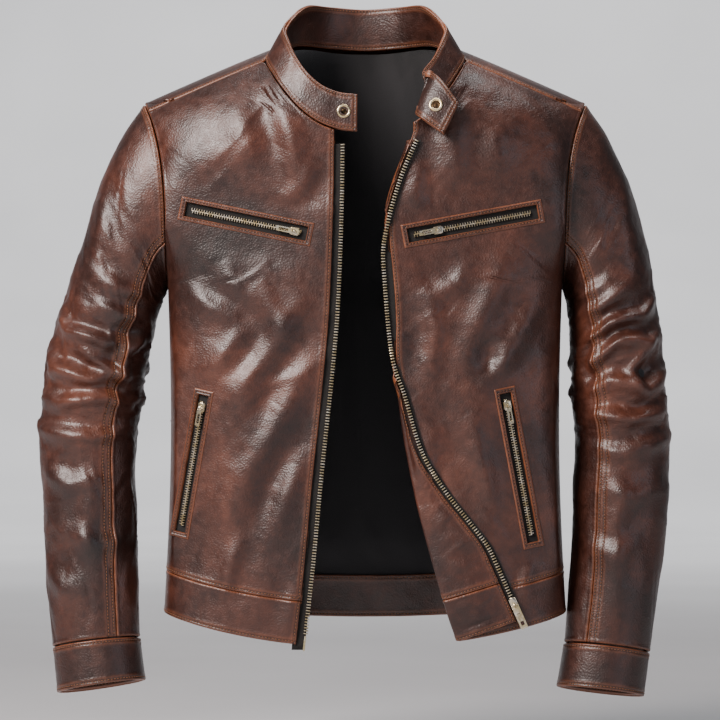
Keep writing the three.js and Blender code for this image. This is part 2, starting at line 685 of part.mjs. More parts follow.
const sewn = 0.25;                // half the seam between the sleeve's pieces, in degrees
for (const side of ['right', 'left']) {
  const section = sleeveSection(side);
  const strip = (from, to) => (u, v, depth) => inside(section, lerp(from, to, u), v, depth);
  const topFrom = -SLEEVE_SEAM + sewn;
  const topTo = SLEEVE_SEAM - sewn;
  leather(`sleeve_top_${side}`, panel(12, 11, strip(topFrom, topTo), 0, LEATHER));
  const underTo = 360 - SLEEVE_SEAM - sewn;
  leather(`sleeve_under_${side}`, panel(6, 11, strip(SLEEVE_SEAM + sewn, underTo), 0, LEATHER));
  const lined = (degrees, v) => section(degrees, lerp(0.01, 0.985, v));
  cloth(`sleeve_lining_${side}`, tube(14, 9, lined, SLEEVE_LINING_INSET,
    SLEEVE_LINING_INSET + LINING));
  leather(`cuff_${side}`, tube(16, 2, cuffSection(side), 0, SLEEVE_LINING_INSET + LINING));
}

// ---- collar ---------------------------------------------------------------------------------
const COLLAR_HEIGHT = 41;
const COLLAR_BEHIND = 5.8;        // both plies and the interlining between them
const COLLAR_LIFT = 0.03;         // the neck seam, as a share of the collar's height

// The neck seam at a distance from the middle: across the front, or round the yoke.
function neckFront(side, x) {
  return bodyPoint(FRONT, side, sideward(side) * x, neckZ(x));
}

function neckYoke(x) {
  const angle = yokeAngles(x)[1];
  const face = angle > 0 ? FRONT : BACK;
  const z = ridge(x) - face.round * (1 - Math.cos(angle));
  return v3(x, face.sign * bodyDepth(face, x, z), z);
}

// From the neck seam up to the collar's top edge, leaning in most at the sides of the neck.
function stand(foot) {
  const inward = v3(-foot.x, -25 - foot.y, 0).normalize();
  const lean = 0.1 + 0.5 * (foot.x / NECK_HALF) ** 2;
  const way = v3(0, 0, 1).addScaledVector(inward, lean).normalize();
  return foot.clone().addScaledVector(way, COLLAR_HEIGHT);
}

const frontShare = [0.08, 0.28, 0.47, 0.65, 0.8, 0.92];
const yokeShare = [-1, -0.9, -0.7, -0.4, 0, 0.4, 0.7, 0.9, 1];
const collarFoot = [
  ...frontShare.map((share) => neckFront('right', share * NECK_HALF)),
  ...yokeShare.map((share) => neckYoke(share * (NECK_HALF - 1))),
  ...frontShare.slice(3).reverse().map((share) => neckFront('left', share * NECK_HALF)),
];
const collarTop = collarFoot.map(stand);
// The left end turns back outwards into a tab that shows its inner ply.
collarFoot.push(v3(57, -98, -85), v3(60, -107, -91), v3(82, -113, -107));
collarTop.push(v3(71, -83, -38), v3(78, -94, -43), v3(99, -107, -72));
const footLine = new THREE.CatmullRomCurve3(collarFoot, false, 'centripetal');
const topLine = new THREE.CatmullRomCurve3(collarTop, false, 'centripetal');

// The collar: u from its right end round the back to the left tab, v from foot to top edge.
function collar(u, v, depth) {
  const step = 2e-3;
  const along = footLine.getPoint(Math.min(u + step, 1)).sub(footLine.getPoint(Math.max(u - step, 0)))
    .add(topLine.getPoint(Math.min(u + step, 1))).sub(topLine.getPoint(Math.max(u - step, 0)));
  const foot = footLine.getPoint(u);
  const rise = topLine.getPoint(u).sub(foot);
  const inward = along.cross(rise).normalize();
  return foot.addScaledVector(rise, lerp(COLLAR_LIFT, 1, v)).addScaledVector(inward, depth);
}

// More of the panel's rows go to the tight fold of the tab than to the long way round.
const FOLD_FROM = 0.86;
const ROWS_BEFORE = 0.6;
function collarPanel(u, v, depth) {
  const before = Math.min(u / ROWS_BEFORE, 1) * FOLD_FROM;
  const after = Math.max((u - ROWS_BEFORE) / (1 - ROWS_BEFORE), 0) * (1 - FOLD_FROM);
  return collar(before + after, v, depth);
}

leather('collar_outer', panel(50, 2, collarPanel, 0, LEATHER));
leather('collar_inner', panel(50, 2, collarPanel, COLLAR_BEHIND - LEATHER, COLLAR_BEHIND));

// ---- collar snap ----------------------------------------------------------------------------
// A turned piece with its axis on the collar's normal: profile [radius, height] off the ply.
function snap(name, u, v, depth, way, profileLine) {
  const points = profileLine.map(([r, h]) => new THREE.Vector2(r, h));
  const turned = new THREE.LatheGeometry(points, 20);
  const here = collar(u, v, depth);
  const normal = collar(u, v, depth + 1).sub(here).multiplyScalar(way);
  const turn = new THREE.Quaternion().setFromUnitVectors(v3(0, 1, 0), normal);
  const matrix = new THREE.Matrix4().compose(here, turn, v3(1, 1, 1));
  piece(name, weld(turned.applyMatrix4(matrix)), SNAP_NICKEL, 0.3, 1);
}

const SNAP_GAP = 0.7;
const ring = [[0, SNAP_GAP], [7.5, SNAP_GAP], [7.5, 1.4], [6.4, 2.4], [4.6, 2.4], [4, 1.6],
  [2.6, 1.6], [2.2, 3], [0, 3.3]];
const cupped = [[0, SNAP_GAP], [7.5, SNAP_GAP], [7.5, 1.4], [6.6, 2.3], [4.4, 2.3], [3.6, 1.2],
  [0, 1.2]];
const disc = [[0, SNAP_GAP], [6.5, SNAP_GAP], [6.5, 1], [5.5, 1.8], [0, 2]];
const STUD_AT = [0.018, 0.6];
const SOCKET_AT = [0.972, 0.54];
snap('snap_stud_right', ...STUD_AT, 0, -1, ring);
snap('snap_post_right', ...STUD_AT, COLLAR_BEHIND, 1, disc);
snap('snap_socket_left', ...SOCKET_AT, COLLAR_BEHIND, 1, cupped);
snap('snap_cap_left', ...SOCKET_AT, 0, -1, disc);

// ---- zip sliders and pulls ------------------------------------------------------------------
const RUNNING_GAP = 0.4;          // slider to teeth
const SLIDER_WALL = 1.1;
const BRIDGE_HIGH = 2.4;
const BRIDGE_LONG = 3.6;
const PULL_THICK = 1.2;
const PULL_ARM = 1;
const PULL_PIN = 0.8;

// A slider seen end on is a cap over the teeth: along x, across y, out z, teeth centred on 0.
function sliderBody(length, teethWide, teethThick) {
  const half = teethWide / 2 + RUNNING_GAP;
  const top = teethThick / 2 + RUNNING_GAP;
  const shape = new THREE.Shape();
  shape.moveTo(-half - SLIDER_WALL, -teethThick / 2);
  shape.lineTo(-half, -teethThick / 2);
  shape.lineTo(-half, top);
  shape.lineTo(half, top);
  shape.lineTo(half, -teethThick / 2);
  shape.lineTo(half + SLIDER_WALL, -teethThick / 2);
  shape.lineTo(half + SLIDER_WALL - 0.5, top + SLIDER_WALL);
  shape.lineTo(-half - SLIDER_WALL + 0.5, top + SLIDER_WALL);
  const cap = new THREE.ExtrudeGeometry(shape, { depth: length, bevelEnabled: false });
  cap.rotateZ(Math.PI / 2).rotateY(Math.PI / 2).translate(-length / 2, 0, 0);
  const crown = top + SLIDER_WALL;
  const bridge = new THREE.BoxGeometry(BRIDGE_LONG, 2, BRIDGE_HIGH + 0.4)
    .translate(0, 0, crown + BRIDGE_HIGH / 2 - 0.2);
  const eye = new THREE.BoxGeometry(2.2, 4, 1.4).translate(0, 0, crown + 0.9);
  const body = solid(cap).add(solid(bridge)).subtract(solid(eye));
  return { geometry: fromSolid(body), eyeZ: crown + 0.9 };
}

// A pull hangs from the slider's eye by two arms and a pin, and lies along +x, in line with
// the eye, so that it can turn right over to the slider's other end.
function pullTab(length, width, eyeZ) {
  const armsReach = BRIDGE_LONG / 2 + PULL_PIN;
  const outline = roundedRect(length - armsReach, width, 1.2);
  const window = new THREE.Path();
  window.absellipse(length * 0.12, 0, length * 0.18, width * 0.26, 0, Math.PI * 2, true);
  outline.holes.push(window);
  const half = PULL_THICK / 2;
  const tab = plate(outline, eyeZ - half, eyeZ + half)
    .translate((length + armsReach) / 2, 0, 0);
  const arm = (way) => new THREE.BoxGeometry(armsReach + 2, PULL_ARM, PULL_THICK)
    .translate((armsReach + 1) / 2, way * (width - PULL_ARM) / 2, eyeZ);
  const pin = new THREE.BoxGeometry(PULL_PIN, width - 0.6, PULL_PIN).translate(0, 0, eyeZ);
  const body = solid(tab).add(solid(arm(1))).add(solid(arm(-1))).add(solid(pin));
  return fromSolid(body);
}

// ---- pocket zips ----------------------------------------------------------------------------
const ROW_PAIR = 5.2;             // width of two meshed rows of pocket teeth
const POCKET_TOOTH = 2.4;
const WELT_HALF = 1;              // half the welt frame's thickness
const POCKET_TEETH_Z = -1.2;      // middle of the teeth, from the plane of the zip
const SLIDER_LONG = 11;
// Each bag's width at the zip and at its foot, its depth and how far its foot leans inwards.
const BAGS = { chest: [98, 72, 58, 26], hand: [125, 125, 64, 0] };

for (const [name, pocket] of Object.entries(POCKETS)) {
  const { length, matrix } = pocketFrame(pocket);
  const [kind, side] = name.split('_');
  const put = (geometry) => weld(geometry).applyMatrix4(matrix);
  const frame = roundedRect(length + 2 * POCKET_END, pocket.frame, 2);
  frame.holes.push(roundedRect(length + 8, pocket.slot, 1));
  leather(`${kind}_welt_${side}`, put(plate(frame, -WELT_HALF, WELT_HALF)));

  const tapeTop = POCKET_TEETH_Z - POCKET_TOOTH / 2 - RUNNING_GAP;
  const strip = roundedRect(length + 16, pocket.slot + 6, 1);
  tape(`${kind}_zip_tape_${side}`, put(plate(strip, tapeTop - TAPE_THICK, tapeTop, 1)));
  const row = new THREE.BoxGeometry(length - 2, ROW_PAIR, POCKET_TOOTH)
    .translate(0, 0, POCKET_TEETH_Z);
  brass(`${kind}_zip_teeth_${side}`, put(row));

  const slider = sliderBody(SLIDER_LONG, ROW_PAIR, POCKET_TOOTH);
  const at = new THREE.Matrix4().makeTranslation(pocket.rest - length / 2, 0, POCKET_TEETH_Z);
  nickel(`${kind}_zip_slider_${side}`, put(slider.geometry.applyMatrix4(at)));
  const pull = pullTab(20, 5.6, slider.eyeZ);
  if (pocket.pull < 0) pull.rotateZ(Math.PI);
  nickel(`${kind}_zip_pull_${side}`, put(pull.applyMatrix4(at)));

  // The bag hangs behind the leather from the zip, towards the hem or the front edge.
  const [wide, narrow, deep, lean] = BAGS[kind];
  const plane = pocketPlane(pocket);
  const bag = (u, v) => {
    const a = (u - 0.5) * lerp(wide, narrow, v) - lean * v;
    const b = v * deep - 8;
    const down = kind === 'chest' ? -1 : Math.sign(plane.across[0]) * -1;
    const x = plane.middle[0] + a * plane.along[0] + down * b * plane.across[0];
    const z = plane.middle[1] + a * plane.along[1] + down * b * plane.across[1];
    return bodyPoint(FRONT, side, sideward(side) * x, z);
  };
  const hung = drawnIn(FRONT, bag);
  cloth(`${kind}_pocket_bag_${side}`, panel(7, 7,
    (u, v, depth) => hung(u, v, depth + BAG_EASE * smooth(v, 0, 0.4)), BAG_INSET, BAG_INSET + BAG));
}

// ---- main zip -------------------------------------------------------------------------------
// Directions at a height on the zip: along it downwards, across it and out of the leather.
function zipFrame(side, z) {
  const along = zipPoint(side, z - 1).sub(zipPoint(side, z + 1)).normalize();
  const across = along.clone().cross(v3(0, 1, 0)).normalize();
  return { along, across, out: along.clone().cross(across) };
}

const zipStart = (side) => -ZIP_TOP - (side === 'left' ? 2 : 6);
const SLIDER_SPAN = 17;
const BOX_LONG = 9;
const PIN_LONG = 16;

// How far the tape reaches past the teeth, towards the garment and away from it.
function tapeReach(side, z) {
  const turn = EDGES[side].turn(z);
  const room = panelEdge(side, z) - EDGES[side].zip(z) - 3;
  const bandZ = bandTop(FRONT)(panelEdge(side, z));
  const held = Math.max(smooth(turn, 0, 0.03), smooth(-z, -bandZ - 10, -bandZ - 3));
  const clear = smooth(turn, 0.35, 0.5);
  const garment = lerp(lerp(TAPE_SHOWS + 4, room, held), 5, clear);
  const away = lerp(0, Math.max(Math.min(-room - 12, 8), 0), smooth(turn, 0.6, 1));
  return [away, garment];
}

for (const side of ['right', 'left']) {
  const s = sideward(side);
  const atZ = (v) => lerp(-ZIP_END[side], zipStart(side), v);
  const teeth = (u, v, w) => {
    const z = atZ(v);
    return zipPoint(side, z, w).addScaledVector(zipFrame(side, z).across, (u * 2 - 1) * TOOTH_HALF);
  };
  const half = TOOTH_THICK / 2;
  brass(`zip_teeth_${side}`, panel(1, 44, teeth, -half, half));
  const under = -half - RUNNING_GAP;
  const strip = (u, v, w) => {
    const z = atZ(v);
    const [away, garment] = tapeReach(side, z);
    const point = zipPoint(side, z, w);
    point.x += s * lerp(-away, garment, u);
    return point;
  };
  tape(`zip_tape_${side}`, panel(2, 44, strip, under - TAPE_THICK, under));
}

// A block fixed at the foot of a row of teeth, with its corners eased.
function footBlock(name, side, from, length, wide, thick) {
  const frame = zipFrame(side, -ZIP_END[side]);
  const foot = zipPoint(side, -ZIP_END[side]).addScaledVector(frame.along, from + length / 2);
  const block = new THREE.ExtrudeGeometry(roundedRect(length, wide, 0.8), {
    depth: thick - 0.8, bevelThickness: 0.4, bevelSize: 0.4, bevelSegments: 1, curveSegments: 2,
  });
  const matrix = new THREE.Matrix4().makeBasis(frame.along, frame.across, frame.out);
  block.translate(0, 0, -(thick - 0.8) / 2).applyMatrix4(matrix.setPosition(foot));
  nickel(name, weld(block));
}

footBlock('zip_box', 'left', 1.6, BOX_LONG, 6, 4);
footBlock('zip_pin', 'right', 1.2, PIN_LONG, 2.2, 2.2);

const mainSlider = sliderBody(SLIDER_SPAN, 2 * TOOTH_HALF, TOOTH_THICK);
const mainFrame = zipFrame('left', -ZIP_END.left + 12);
const mainAt = zipPoint('left', -ZIP_END.left).addScaledVector(mainFrame.along, -SLIDER_SPAN / 2);
const mainMatrix = new THREE.Matrix4()
  .makeBasis(mainFrame.along, mainFrame.across, mainFrame.out).setPosition(mainAt);
nickel('zip_slider', weld(mainSlider.geometry).applyMatrix4(mainMatrix));
nickel('zip_pull', pullTab(27, 8, mainSlider.eyeZ).applyMatrix4(mainMatrix));

export default jacket;
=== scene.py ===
# Looks of a leather riding jacket, hung upright and open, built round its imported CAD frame.

# %% [markdown]
# # A leather riding jacket
# The jacket is cut from many panels of waxed, pull-up cowhide, sewn edge to edge over a black
# lining. A scan or a cloth simulation would give one fused skin. Here each panel is instead a
# grid of points laid on one smooth body shape, so neighbours share a seam line exactly, and
# the folds that the leather has taken on are added to that shape as soft ridges.
# Lengths are in millimetres until a mesh is made. Right and left are the wearer's.

# %% load the frame
import math

import bpy
import numpy as np
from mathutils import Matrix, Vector


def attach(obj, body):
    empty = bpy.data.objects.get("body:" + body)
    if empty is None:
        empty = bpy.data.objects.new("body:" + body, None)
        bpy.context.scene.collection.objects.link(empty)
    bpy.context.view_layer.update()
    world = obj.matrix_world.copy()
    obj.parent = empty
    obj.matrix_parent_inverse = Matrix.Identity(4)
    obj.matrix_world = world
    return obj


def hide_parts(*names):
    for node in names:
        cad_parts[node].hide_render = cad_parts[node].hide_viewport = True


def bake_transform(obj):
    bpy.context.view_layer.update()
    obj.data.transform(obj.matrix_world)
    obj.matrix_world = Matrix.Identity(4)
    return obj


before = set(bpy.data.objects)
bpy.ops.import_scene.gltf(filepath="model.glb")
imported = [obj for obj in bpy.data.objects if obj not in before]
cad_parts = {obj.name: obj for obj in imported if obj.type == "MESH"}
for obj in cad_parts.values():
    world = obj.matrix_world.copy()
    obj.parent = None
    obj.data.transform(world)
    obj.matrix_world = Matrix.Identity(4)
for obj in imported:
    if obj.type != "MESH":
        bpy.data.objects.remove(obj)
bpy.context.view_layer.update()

# %% [markdown]
# ## Sizes
# A garment is graded from a few body measures. The same ones drive every panel below, so a
# change here moves whole seams and not single pieces.

# %% body sizes
SHOULDER_HALF, SHOULDER_DROP, SHOULDER_SLOPE, RIDGE_BEND = 238, 65, 0.4577, 60
CHEST_HALF, HEM_HALF, WAIST_TUCK = 212, 216, 5
BODY_LENGTH, FRONT_DIP, BACK_DIP, HEM_BAND = 612, 34, 13, 46
NECK_HALF, NECK_DROP, YOKE_DROP, YOKE_FORWARD = 108, 102, 105, 13
ARMHOLE_BOTTOM = 262
SQUARENESS = 4
LEATHER = 2.0  # thickness of one ply with its turned edge
SIGN = {"right": -1, "left": 1}
FRONT = {"sign": -1, "depth": 98, "round": 115, "reach": 64}
BACK = {"sign": 1, "depth": 86, "round": 140, "reach": 58}


def lerp(a, b, t):
    return a + (b - a) * t


def smooth(x, a, b):
    """3t^2 - 2t^3, where t runs from 0 at a to 1 at b and is held there."""
    t = np.clip((x - a) / (b - a), 0, 1)
    return t * t * (3 - 2 * t)


def unit(v):
    return v / np.maximum(np.linalg.norm(v, axis=-1, keepdims=True), 1e-9)


# %% [markdown]
# ## The shape of the body
# Seen from above, the hung body is a rounded box: a superellipse of power 4. It closes to a
# ridge at the shoulders, as a quarter circle does. A superellipse needs two half widths and
# one power, and keeps the chest broad and flat as stiff leather is.


# %% body shape
def ridge(x):
    """Shoulder ridge: a straight fall of SHOULDER_SLOPE, eased flat at the neck."""
    tip = math.hypot(SHOULDER_HALF, RIDGE_BEND)
    return -SHOULDER_DROP + SHOULDER_SLOPE * (tip - np.hypot(x, RIDGE_BEND))


def side_x(z):
    """Half width at the side seam, and above it at the armhole, which climbs as t^4."""
    climb = np.clip((z + ARMHOLE_BOTTOM) / (ARMHOLE_BOTTOM - SHOULDER_DROP), 0, 1)
    fall = np.clip((-ARMHOLE_BOTTOM - z) / (BODY_LENGTH - ARMHOLE_BOTTOM), 0, 1)
    above = CHEST_HALF + (SHOULDER_HALF - CHEST_HALF) * climb**4
    below = lerp(CHEST_HALF, HEM_HALF, fall) - WAIST_TUCK * np.sin(math.pi * fall)
    return np.where(z > -ARMHOLE_BOTTOM, above, below)


ARM_MIDDLE = -(ARMHOLE_BOTTOM + SHOULDER_DROP + 1) / 2
ARM_HALF = (ARMHOLE_BOTTOM - SHOULDER_DROP - 1) / 2


def armhole_y(z, reach):
    """The armhole seen from the side is an ellipse: reach times sqrt(1 - t^2)."""
    t = np.clip((z - ARM_MIDDLE) / ARM_HALF, -1, 1)
    return reach * np.sqrt(1 - t * t)


def roll_over(face, x, z):
    """1 on the body, closing to 0 at the ridge as a quarter circle does."""
    fall = np.clip((ridge(x) - z) / face["round"], 0, 1)
    return np.sqrt(np.clip(1 - (1 - fall) ** 2, 0, None))


def plan_half(face, z):
    """Half width of the full plan that passes through the armhole edge at a height."""
    level = np.minimum(z, -SHOULDER_DROP - 2)
    edge = side_x(level)
    share = armhole_y(level, face["reach"]) / (face["depth"] * roll_over(face, edge, level))
    share = np.minimum(share, 0.92)
    return edge / (1 - share**SQUARENESS) ** (1 / SQUARENESS)


def body_depth(face, x, z):
    """Depth times (1 - (x / half)^4)^(1/4), times the roll towards the shoulder."""
    share = np.minimum(np.abs(x) / plan_half(face, z), 1)
    plan = (1 - share**SQUARENESS) ** (1 / SQUARENESS)
    return face["depth"] * plan * roll_over(face, x, z)


def plan_angle(face, x, z):
    share = np.minimum(np.abs(x) / plan_half(face, z), 1)
    return np.arctan2(share, (1 - share**SQUARENESS) ** (1 / SQUARENESS))


def plan_x(face, angle, z):
    s, c = np.sin(angle), np.cos(angle)
    return plan_half(face, z) * s / (s**SQUARENESS + np.abs(c) ** SQUARENESS) ** (1 / SQUARENESS)


def hem_z(face, x):
    dip = FRONT_DIP if face is FRONT else BACK_DIP
    return -BODY_LENGTH - dip * (1 - np.clip(np.abs(x) / HEM_HALF, 0, 1) ** 2)


def neck_z(x):
    """The neck seam drops from the ridge to NECK_DROP as 1 - (x / half)^2.6."""
    share = np.clip(np.abs(x) / NECK_HALF, 0, 1)
    top = ridge(NECK_HALF) - YOKE_FORWARD
    return top - (NECK_DROP + top) * (1 - share**2.6)


def front_top(x):
    return np.where(np.abs(x) < NECK_HALF, neck_z(x), ridge(x) - YOKE_FORWARD)


# %% [markdown]
# ## Folds
# Leather keeps the folds it is worn in. A fold is a ridge along a line, with a hollow beside
# it where the slack came from. Sculpting by hand would not repeat, and noise alone looks like
# crumpled paper, so each large fold is placed by its line and only the fine ones are noise.

# %% fold shapes
FOLD_GAIN = 1.5  # the listed heights of the folds of fronts and sleeves count times this
HOLLOW_AWAY, HOLLOW_WIDE, HOLLOW_DEEP = 1.7, 1.2, 0.5  # the first two in widths of the fold


def fold(p, q, line, width, height, lean=1.0):
    """Height of one fold at points (p, q): exp(-(d / w)^2) beside the line, less a hollow of
    half that height, 1.7 w to the side of lean, fading out along the line as sin(pi t)."""
    line = np.asarray(line, float)
    steps = np.linalg.norm(np.diff(line, axis=0), axis=1)
    total = steps.sum()
    best = np.full(np.shape(p), 1e9)
    side = np.zeros(np.shape(p))
    along = np.zeros(np.shape(p))
    done = 0.0
    for (a, b), step in zip(zip(line[:-1], line[1:]), steps):
        way = (b - a) / step
        t = np.clip((p - a[0]) * way[0] + (q - a[1]) * way[1], 0, step)
        dp, dq = p - a[0] - t * way[0], q - a[1] - t * way[1]
        d = np.hypot(dp, dq)
        near = d < best
        best = np.where(near, d, best)
        side = np.where(near, np.where(dp * way[1] - dq * way[0] > 0, d, -d), side)
        along = np.where(near, (done + t) / total, along)
        done += step
    fade = np.clip(np.sin(math.pi * along), 0, 1)
    crest = np.exp(-((best / width) ** 2))
    beside = (side - lean * HOLLOW_AWAY * width) / (HOLLOW_WIDE * width)
    far_off = np.maximum(best - 3 * width, 0) / width
    hollow = np.exp(-(beside**2)) * np.exp(-(far_off**2))
    return height * fade * (crest - HOLLOW_DEEP * hollow)


def waves(p, q, size, seed, creased=0.0):
    """Soft unevenness from -1 to 1: eight sine waves of random direction, each bent by the
    last, and with creased > 0 sharpened towards 1 - |sin| so that it folds in lines."""
    random = np.random.default_rng(seed)
    total = np.zeros(np.shape(p))
    bent_p, bent_q = p, q
    for _ in range(8):
        angle, phase, scale = random.uniform(0, 2 * math.pi, 3) * (1, 1, 0.16)
        wave = 2 * math.pi / (size * (0.6 + scale))
        turn = (bent_p * math.cos(angle) + bent_q * math.sin(angle)) * wave + phase
        total += lerp(np.sin(turn), 1 - 2 * np.abs(np.sin(turn / 2)) ** 0.8, creased)
        bent_p = bent_p + np.sin(turn + phase) * size * 0.12
        bent_q = bent_q + np.cos(turn) * size * 0.12
    return total / 4


# %% [markdown]
# ## Pockets and the fronts' depth
# A closed zip is stiff, so the leather round each pocket lies in one plane. The body's depth
# is eased onto that plane near a zip, and the folds are added everywhere else. Everything on
# the front reads this one depth, so zips, welts, bands and facings all follow the leather.

# %% pockets
POCKETS = {
    "chest_right": dict(side="right", start=(66, -208), end=(186, -183), frame=25, slot=13,
                        rest=8, pull=1),
    "chest_left": dict(side="left", start=(50, -210), end=(178, -186), frame=25, slot=13,
                       rest=27, pull=-1),
    "hand_right": dict(side="right", start=(172, -384), end=(196, -520), frame=23, slot=10.4,
                       rest=8, pull=1),
    "hand_left": dict(side="left", start=(149, -382), end=(177, -530), frame=23, slot=10.4,
                      rest=8, pull=1),
}
POCKET_END, FLATTENED, FLAT_EDGE = 11, 0.75, 60
for pocket in POCKETS.values():
    p0, p1 = np.array(pocket["start"], float), np.array(pocket["end"], float)
    length = np.linalg.norm(p1 - p0)
    along = (p1 - p0) / length
    across = np.array([-along[1], along[0]])
    middle = (p0 + p1) / 2
    near, far = body_depth(FRONT, p0[0], p0[1]), body_depth(FRONT, p1[0], p1[1])
    above, below = (body_depth(FRONT, *(middle + way * 6 * across)) for way in (1, -1))
    pocket.update(length=length, along=along, across=across, middle=middle,
                  depth=(near + far) / 2, fall=(far - near) / length,
                  slope=FLATTENED * (above - below) / 12)

# %% [markdown]
# The folds of the fronts run from the chest and the side seams towards the edges, as a hung
# and open front pulls. Each is a line of (distance from the middle, height), then the fold's
# width, its height, and the side that its hollow lies on.

# %% folds of the fronts
FRONT_FOLDS = {
    "right": [
        ([(62, -268), (98, -330), (142, -392)], 13, 4.2, 1),
        ([(52, -322), (84, -396), (122, -462), (142, -520)], 15, 4.6, 1),
        ([(122, -248), (98, -292), (72, -330)], 13, 3.0, -1),
        ([(62, -430), (84, -486), (104, -548)], 12, 3.6, -1),
        ([(118, -300), (150, -336), (172, -366)], 11, 3.2, 1),
        ([(196, -262), (166, -286), (130, -300)], 10, 2.8, 1),
        ([(98, -58), (78, -108), (70, -160)], 13, 3.4, -1),
        ([(52, -128), (66, -158), (92, -180)], 9, 2.2, 1),
        ([(140, -60), (128, -100), (122, -140)], 16, 3.0, 1),
        ([(126, -520), (142, -556), (150, -600)], 9, 2.6, 1),
        ([(70, -560), (78, -600), (84, -640)], 9, 2.2, -1),
        ([(150, -236), (140, -262), (118, -284)], 8, 2.0, 1),
    ],
    "left": [
        ([(158, -232), (126, -292), (98, -362)], 15, 3.8, -1),
        ([(190, -268), (160, -322), (128, -392)], 12, 3.6, -1),
        ([(104, -400), (126, -452), (140, -520)], 12, 3.4, 1),
        ([(62, -262), (74, -312), (66, -372)], 11, 3.0, 1),
        ([(100, -60), (92, -110), (98, -162)], 14, 3.2, 1),
        ([(60, -130), (52, -165), (60, -196)], 9, 2.2, -1),
        ([(150, -70), (142, -110), (136, -150)], 16, 2.6, -1),
        ([(112, -236), (96, -262), (60, -280)], 10, 2.4, 1),
        ([(140, -300), (146, -340), (132, -380)], 10, 2.6, 1),
        ([(70, -420), (62, -470), (76, -530)], 9, 3.0, -1),
        ([(66, -540), (86, -585), (92, -632)], 9, 2.8, 1),
        ([(178, -540), (170, -580), (176, -620)], 8, 2.0, 1),
    ],
}


def front_folds(side, x, z):
    """All folds of one front, fading out towards the side seam and the shoulder."""
    x = np.abs(x)
    total = 1.3 * waves(x, z, 95, 11 if side == "right" else 23)
    total += 0.5 * waves(x, z, 38, 5 if side == "right" else 8, creased=0.5)
    for line, width, height, lean in FRONT_FOLDS[side]:
        total = total + FOLD_GAIN * fold(x, z, line, width, height, lean)
    share = x / plan_half(FRONT, z)
    return total * (1 - smooth(share, 0.9, 0.99)) * smooth(roll_over(FRONT, x, z), 0.4, 0.75)


def front_depth(side, x, z):
    """Body depth plus folds, eased onto the plane of any pocket zip nearby."""
    x = np.abs(x)
    plain = body_depth(FRONT, x, z)
    folded = plain + front_folds(side, x, z)
    for pocket in POCKETS.values():
        if pocket["side"] != side:
            continue
        dx, dz = x - pocket["middle"][0], z - pocket["middle"][1]
        a = dx * pocket["along"][0] + dz * pocket["along"][1]
        b = dx * pocket["across"][0] + dz * pocket["across"][1]
        past = np.hypot(np.maximum(np.abs(a) - pocket["length"] / 2 - POCKET_END, 0),
                        np.maximum(np.abs(b) - pocket["frame"] / 2, 0))
        by_side = 1 - smooth(x / plan_half(FRONT, z), 0.955, 0.995)
        flat = pocket["depth"] + a * pocket["fall"] + b * pocket["slope"]
        plain_here = lerp(plain, flat, (1 - smooth(past, 0, FLAT_EDGE)) * by_side)
        folded = folded + (plain_here - plain)
        folded = lerp(folded, plain_here, (1 - smooth(past, 2, 26)) * by_side)
        plain = plain_here
    return folded


# %% [markdown]
# The back has fewer and broader folds than the fronts: it is one piece that hangs free.

# %% folds of the back
BACK_FOLDS = [
    ([(-150, -200), (-60, -250), (40, -262), (140, -215)], 18, 3.0, 1),
    ([(-170, -260), (-80, -330), (-30, -400)], 16, 3.0, 1),
    ([(175, -280), (90, -340), (50, -420)], 16, 3.0, -1),
    ([(-60, -420), (-80, -500), (-60, -590)], 14, 2.6, 1),
    ([(80, -450), (70, -520), (95, -600)], 14, 2.6, -1),
    ([(-190, -300), (-150, -330), (-120, -340)], 9, 2.0, 1),
    ([(190, -300), (150, -325), (120, -330)], 9, 2.0, 1),
]


def back_depth(x, z):
    total = 1.4 * waves(x, z, 110, 31) + 0.4 * waves(x, z, 42, 32, creased=0.5)
    for line, width, height, lean in BACK_FOLDS:
        total = total + fold(x, z, line, width, height, lean)
    keep = (1 - smooth(np.abs(x) / plan_half(BACK, z), 0.88, 0.98)) * smooth(
        roll_over(BACK, x, z), 0.4, 0.8)
    return body_depth(BACK, x, z) + total * keep


# %% [markdown]
# ## Front edges and the main zip's path
# The right front hangs straight. The left front is turned outwards at the neck and again
# below the waist, so its facing shows like a long lapel. Each edge is one smooth curve of
# distance against height: the edge's fold, the teeth beside it, and how far it is turned.


# %% edges
def edge_line(points):
    """A Hermite curve through (distance, height) points, slopes from their neighbours."""
    points = np.asarray(points, float)
    before = points[[0, *range(len(points) - 1)]]
    after = points[[*range(1, len(points)), len(points) - 1]]
    slope = (after[:, 0] - before[:, 0]) / (after[:, 1] - before[:, 1])

    def at(z):
        z = np.asarray(z, float)
        i = np.clip(np.searchsorted(-points[:, 1], -z, side="left") - 1, 0, len(points) - 2)
        x0, z0, x1, z1 = points[i, 0], points[i, 1], points[i + 1, 0], points[i + 1, 1]
        span = z1 - z0
        t = np.clip((z - z0) / span, 0, 1)
        curve = ((2 * t**3 - 3 * t**2 + 1) * x0 + (t**3 - 2 * t**2 + t) * span * slope[i]
                 + (3 * t**2 - 2 * t**3) * x1 + (t**3 - t**2) * span * slope[i + 1])
        return curve + np.where(z < points[-1, 1], slope[-1] * (z - points[-1, 1]), 0)

    return at


